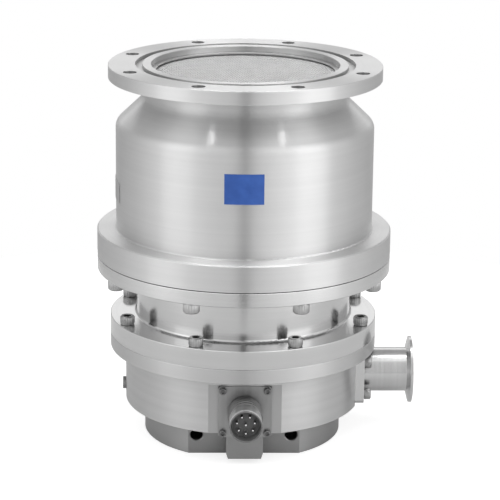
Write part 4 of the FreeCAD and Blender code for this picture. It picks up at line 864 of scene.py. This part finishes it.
def makeConnector():
    outward = Vector((0, -1, 0))
    low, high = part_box("connector_shell")
    centre = Vector(((low[0] + high[0]) / 2, 0, (low[2] + high[2]) / 2))
    low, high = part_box("connector_insert")
    bore = (high[0] - low[0]) / 2 + connector["insertGap"]
    pins = [measureRod(solid, outward) for solid in solidsOf("connector_pins")]
    makeShell(outward, centre, bore)
    makePins(outward, pins)
    makeInsert(outward, centre, bore, pins)


makeConnector()
print("connector made")


# A round table top under a plain sky whose brightness changes round the pump, as between soft screens.
studio = {
    "tableRadius": 0.75,
    "tableSides": 96,
    "tableDrop": 0.0002,       # keeps the table clear of the foot's face
    "tableColour": grey(0.55),
    "tableGlow": 0.74,         # what the camera sees added, so that the table is white
    "tableSheen": 0.12,        # the same for mirrors
    "screens": [               # degrees round from the front, and how bright the surroundings are there
        (-180, 0.42), (-151, 0.46), (-112, 0.66), (-86, 0.97), (-66, 1.2), (-42, 0.96), (-24, 0.8),
        (-14, 0.78), (-5.5, 0.66), (-0.8, 0.0), (4, 0.66), (10, 0.8), (36, 1.24), (59, 1.4), (74, 1.2),
        (86, 0.93), (112, 0.66), (151, 0.48), (180, 0.44)],
    "lamps": [
        # name, azimuth and elevation in degrees, distance, width and height in metres, power in watts
        ("leftBox", -62, 15, 2.2, 1.2, 2.2, 2),
        ("rightBox", 59, 15, 2.2, 1.2, 2.2, 3),
        ("topBox", 0, 80, 2.2, 1.8, 1.8, 4.6),
        ("holeLight", 0, 88, 2.2, 2.0, 0.2, 10),
        ("backBox", 180, 24, 2.4, 2.6, 1.0, 5.5),
    ],
}


def makeTableSkin():
    material, tree = newMaterial("paleTable")
    rays = place(tree, "LightPath")
    mirrored = sums(tree, "ADD", rays.outputs["Is Glossy Ray"], rays.outputs["Is Transmission Ray"],
                    clamp=True)
    sheen = sums(tree, "MULTIPLY", mirrored, studio["tableSheen"])
    glow = sums(tree, "MULTIPLY_ADD", rays.outputs["Is Camera Ray"], studio["tableGlow"], sheen)
    matt = place(tree, "BsdfDiffuse", {"Color": studio["tableColour"]})
    light = place(tree, "Emission", {"Color": grey(1.0), "Strength": glow})
    both = place(tree, "AddShader", {0: matt.outputs[0], 1: light.outputs[0]})
    # From below the table is clear, so that the foot can be looked at.
    below = place(tree, "NewGeometry").outputs["Backfacing"]
    clear = place(tree, "BsdfTransparent")
    either = place(tree, "MixShader", {0: below, 1: both.outputs[0], 2: clear.outputs[0]})
    tree.links.new(either.outputs[0], place(tree, "OutputMaterial").inputs["Surface"])
    return material


def makeTable():
    sides = studio["tableSides"]
    mesh = bpy.data.meshes.new("table")
    rim = ringAt(Vector((0, 0, -studio["tableDrop"])), Vector((0, 0, 1)), studio["tableRadius"], sides)
    mesh.from_pydata([tuple(point) for point in rim], [], [tuple(range(sides))])
    mesh.materials.append(makeTableSkin())
    table = bpy.data.objects.new("table", mesh)
    scene.collection.objects.link(table)


def makeWorld():
    world = bpy.data.worlds.new("studio")
    world.use_nodes = True
    tree = world.node_tree
    tree.nodes.clear()
    toward = place(tree, "SeparateXYZ", {"Vector": place(tree, "TexCoord").outputs["Generated"]})
    front = sums(tree, "MULTIPLY", toward.outputs["Y"], -1.0)
    turn = sums(tree, "ARCTAN2", toward.outputs["X"], front)
    share = sums(tree, "MULTIPLY_ADD", turn, 0.5 / math.pi, 0.5)
    ramp = place(tree, "ValToRGB", {"Fac": share})
    stops = studio["screens"]
    brightest = max(level for angle, level in stops)
    while len(ramp.color_ramp.elements) < len(stops):
        ramp.color_ramp.elements.new(1.0)
    for stop, (angle, level) in zip(ramp.color_ramp.elements, stops):
        stop.position = angle / 360 + 0.5
        stop.color = grey(level / brightest)
    rays = place(tree, "LightPath")
    level = sums(tree, "MULTIPLY", ramp.outputs["Color"], brightest)
    seen = spread(tree, rays.outputs["Is Camera Ray"], 0.0, 1.0, level, 1.0)
    sky = place(tree, "Background", {"Color": grey(1.0), "Strength": seen})
    tree.links.new(sky.outputs[0], place(tree, "OutputWorld").inputs["Surface"])
    scene.world = world


def makeLamps():
    middle = (cadBox[0] + cadBox[1]) / 2
    for name, azimuth, elevation, distance, width, height, power in studio["lamps"]:
        lamp = bpy.data.lights.new(name, "AREA")
        lamp.shape = "RECTANGLE"
        lamp.size, lamp.size_y = width, height
        lamp.energy = power
        around, above = math.radians(azimuth), math.radians(elevation)
        outward = Vector((math.sin(around) * math.cos(above), -math.cos(around) * math.cos(above),
                          math.sin(above)))
        holder = bpy.data.objects.new(name, lamp)
        holder.location = middle + outward * distance
        holder.rotation_euler = (-outward).to_track_quat("-Z", "Y").to_euler()
        scene.collection.objects.link(holder)


makeTable()
makeWorld()
makeLamps()
print("table and lights made")


bpy.context.view_layer.update()
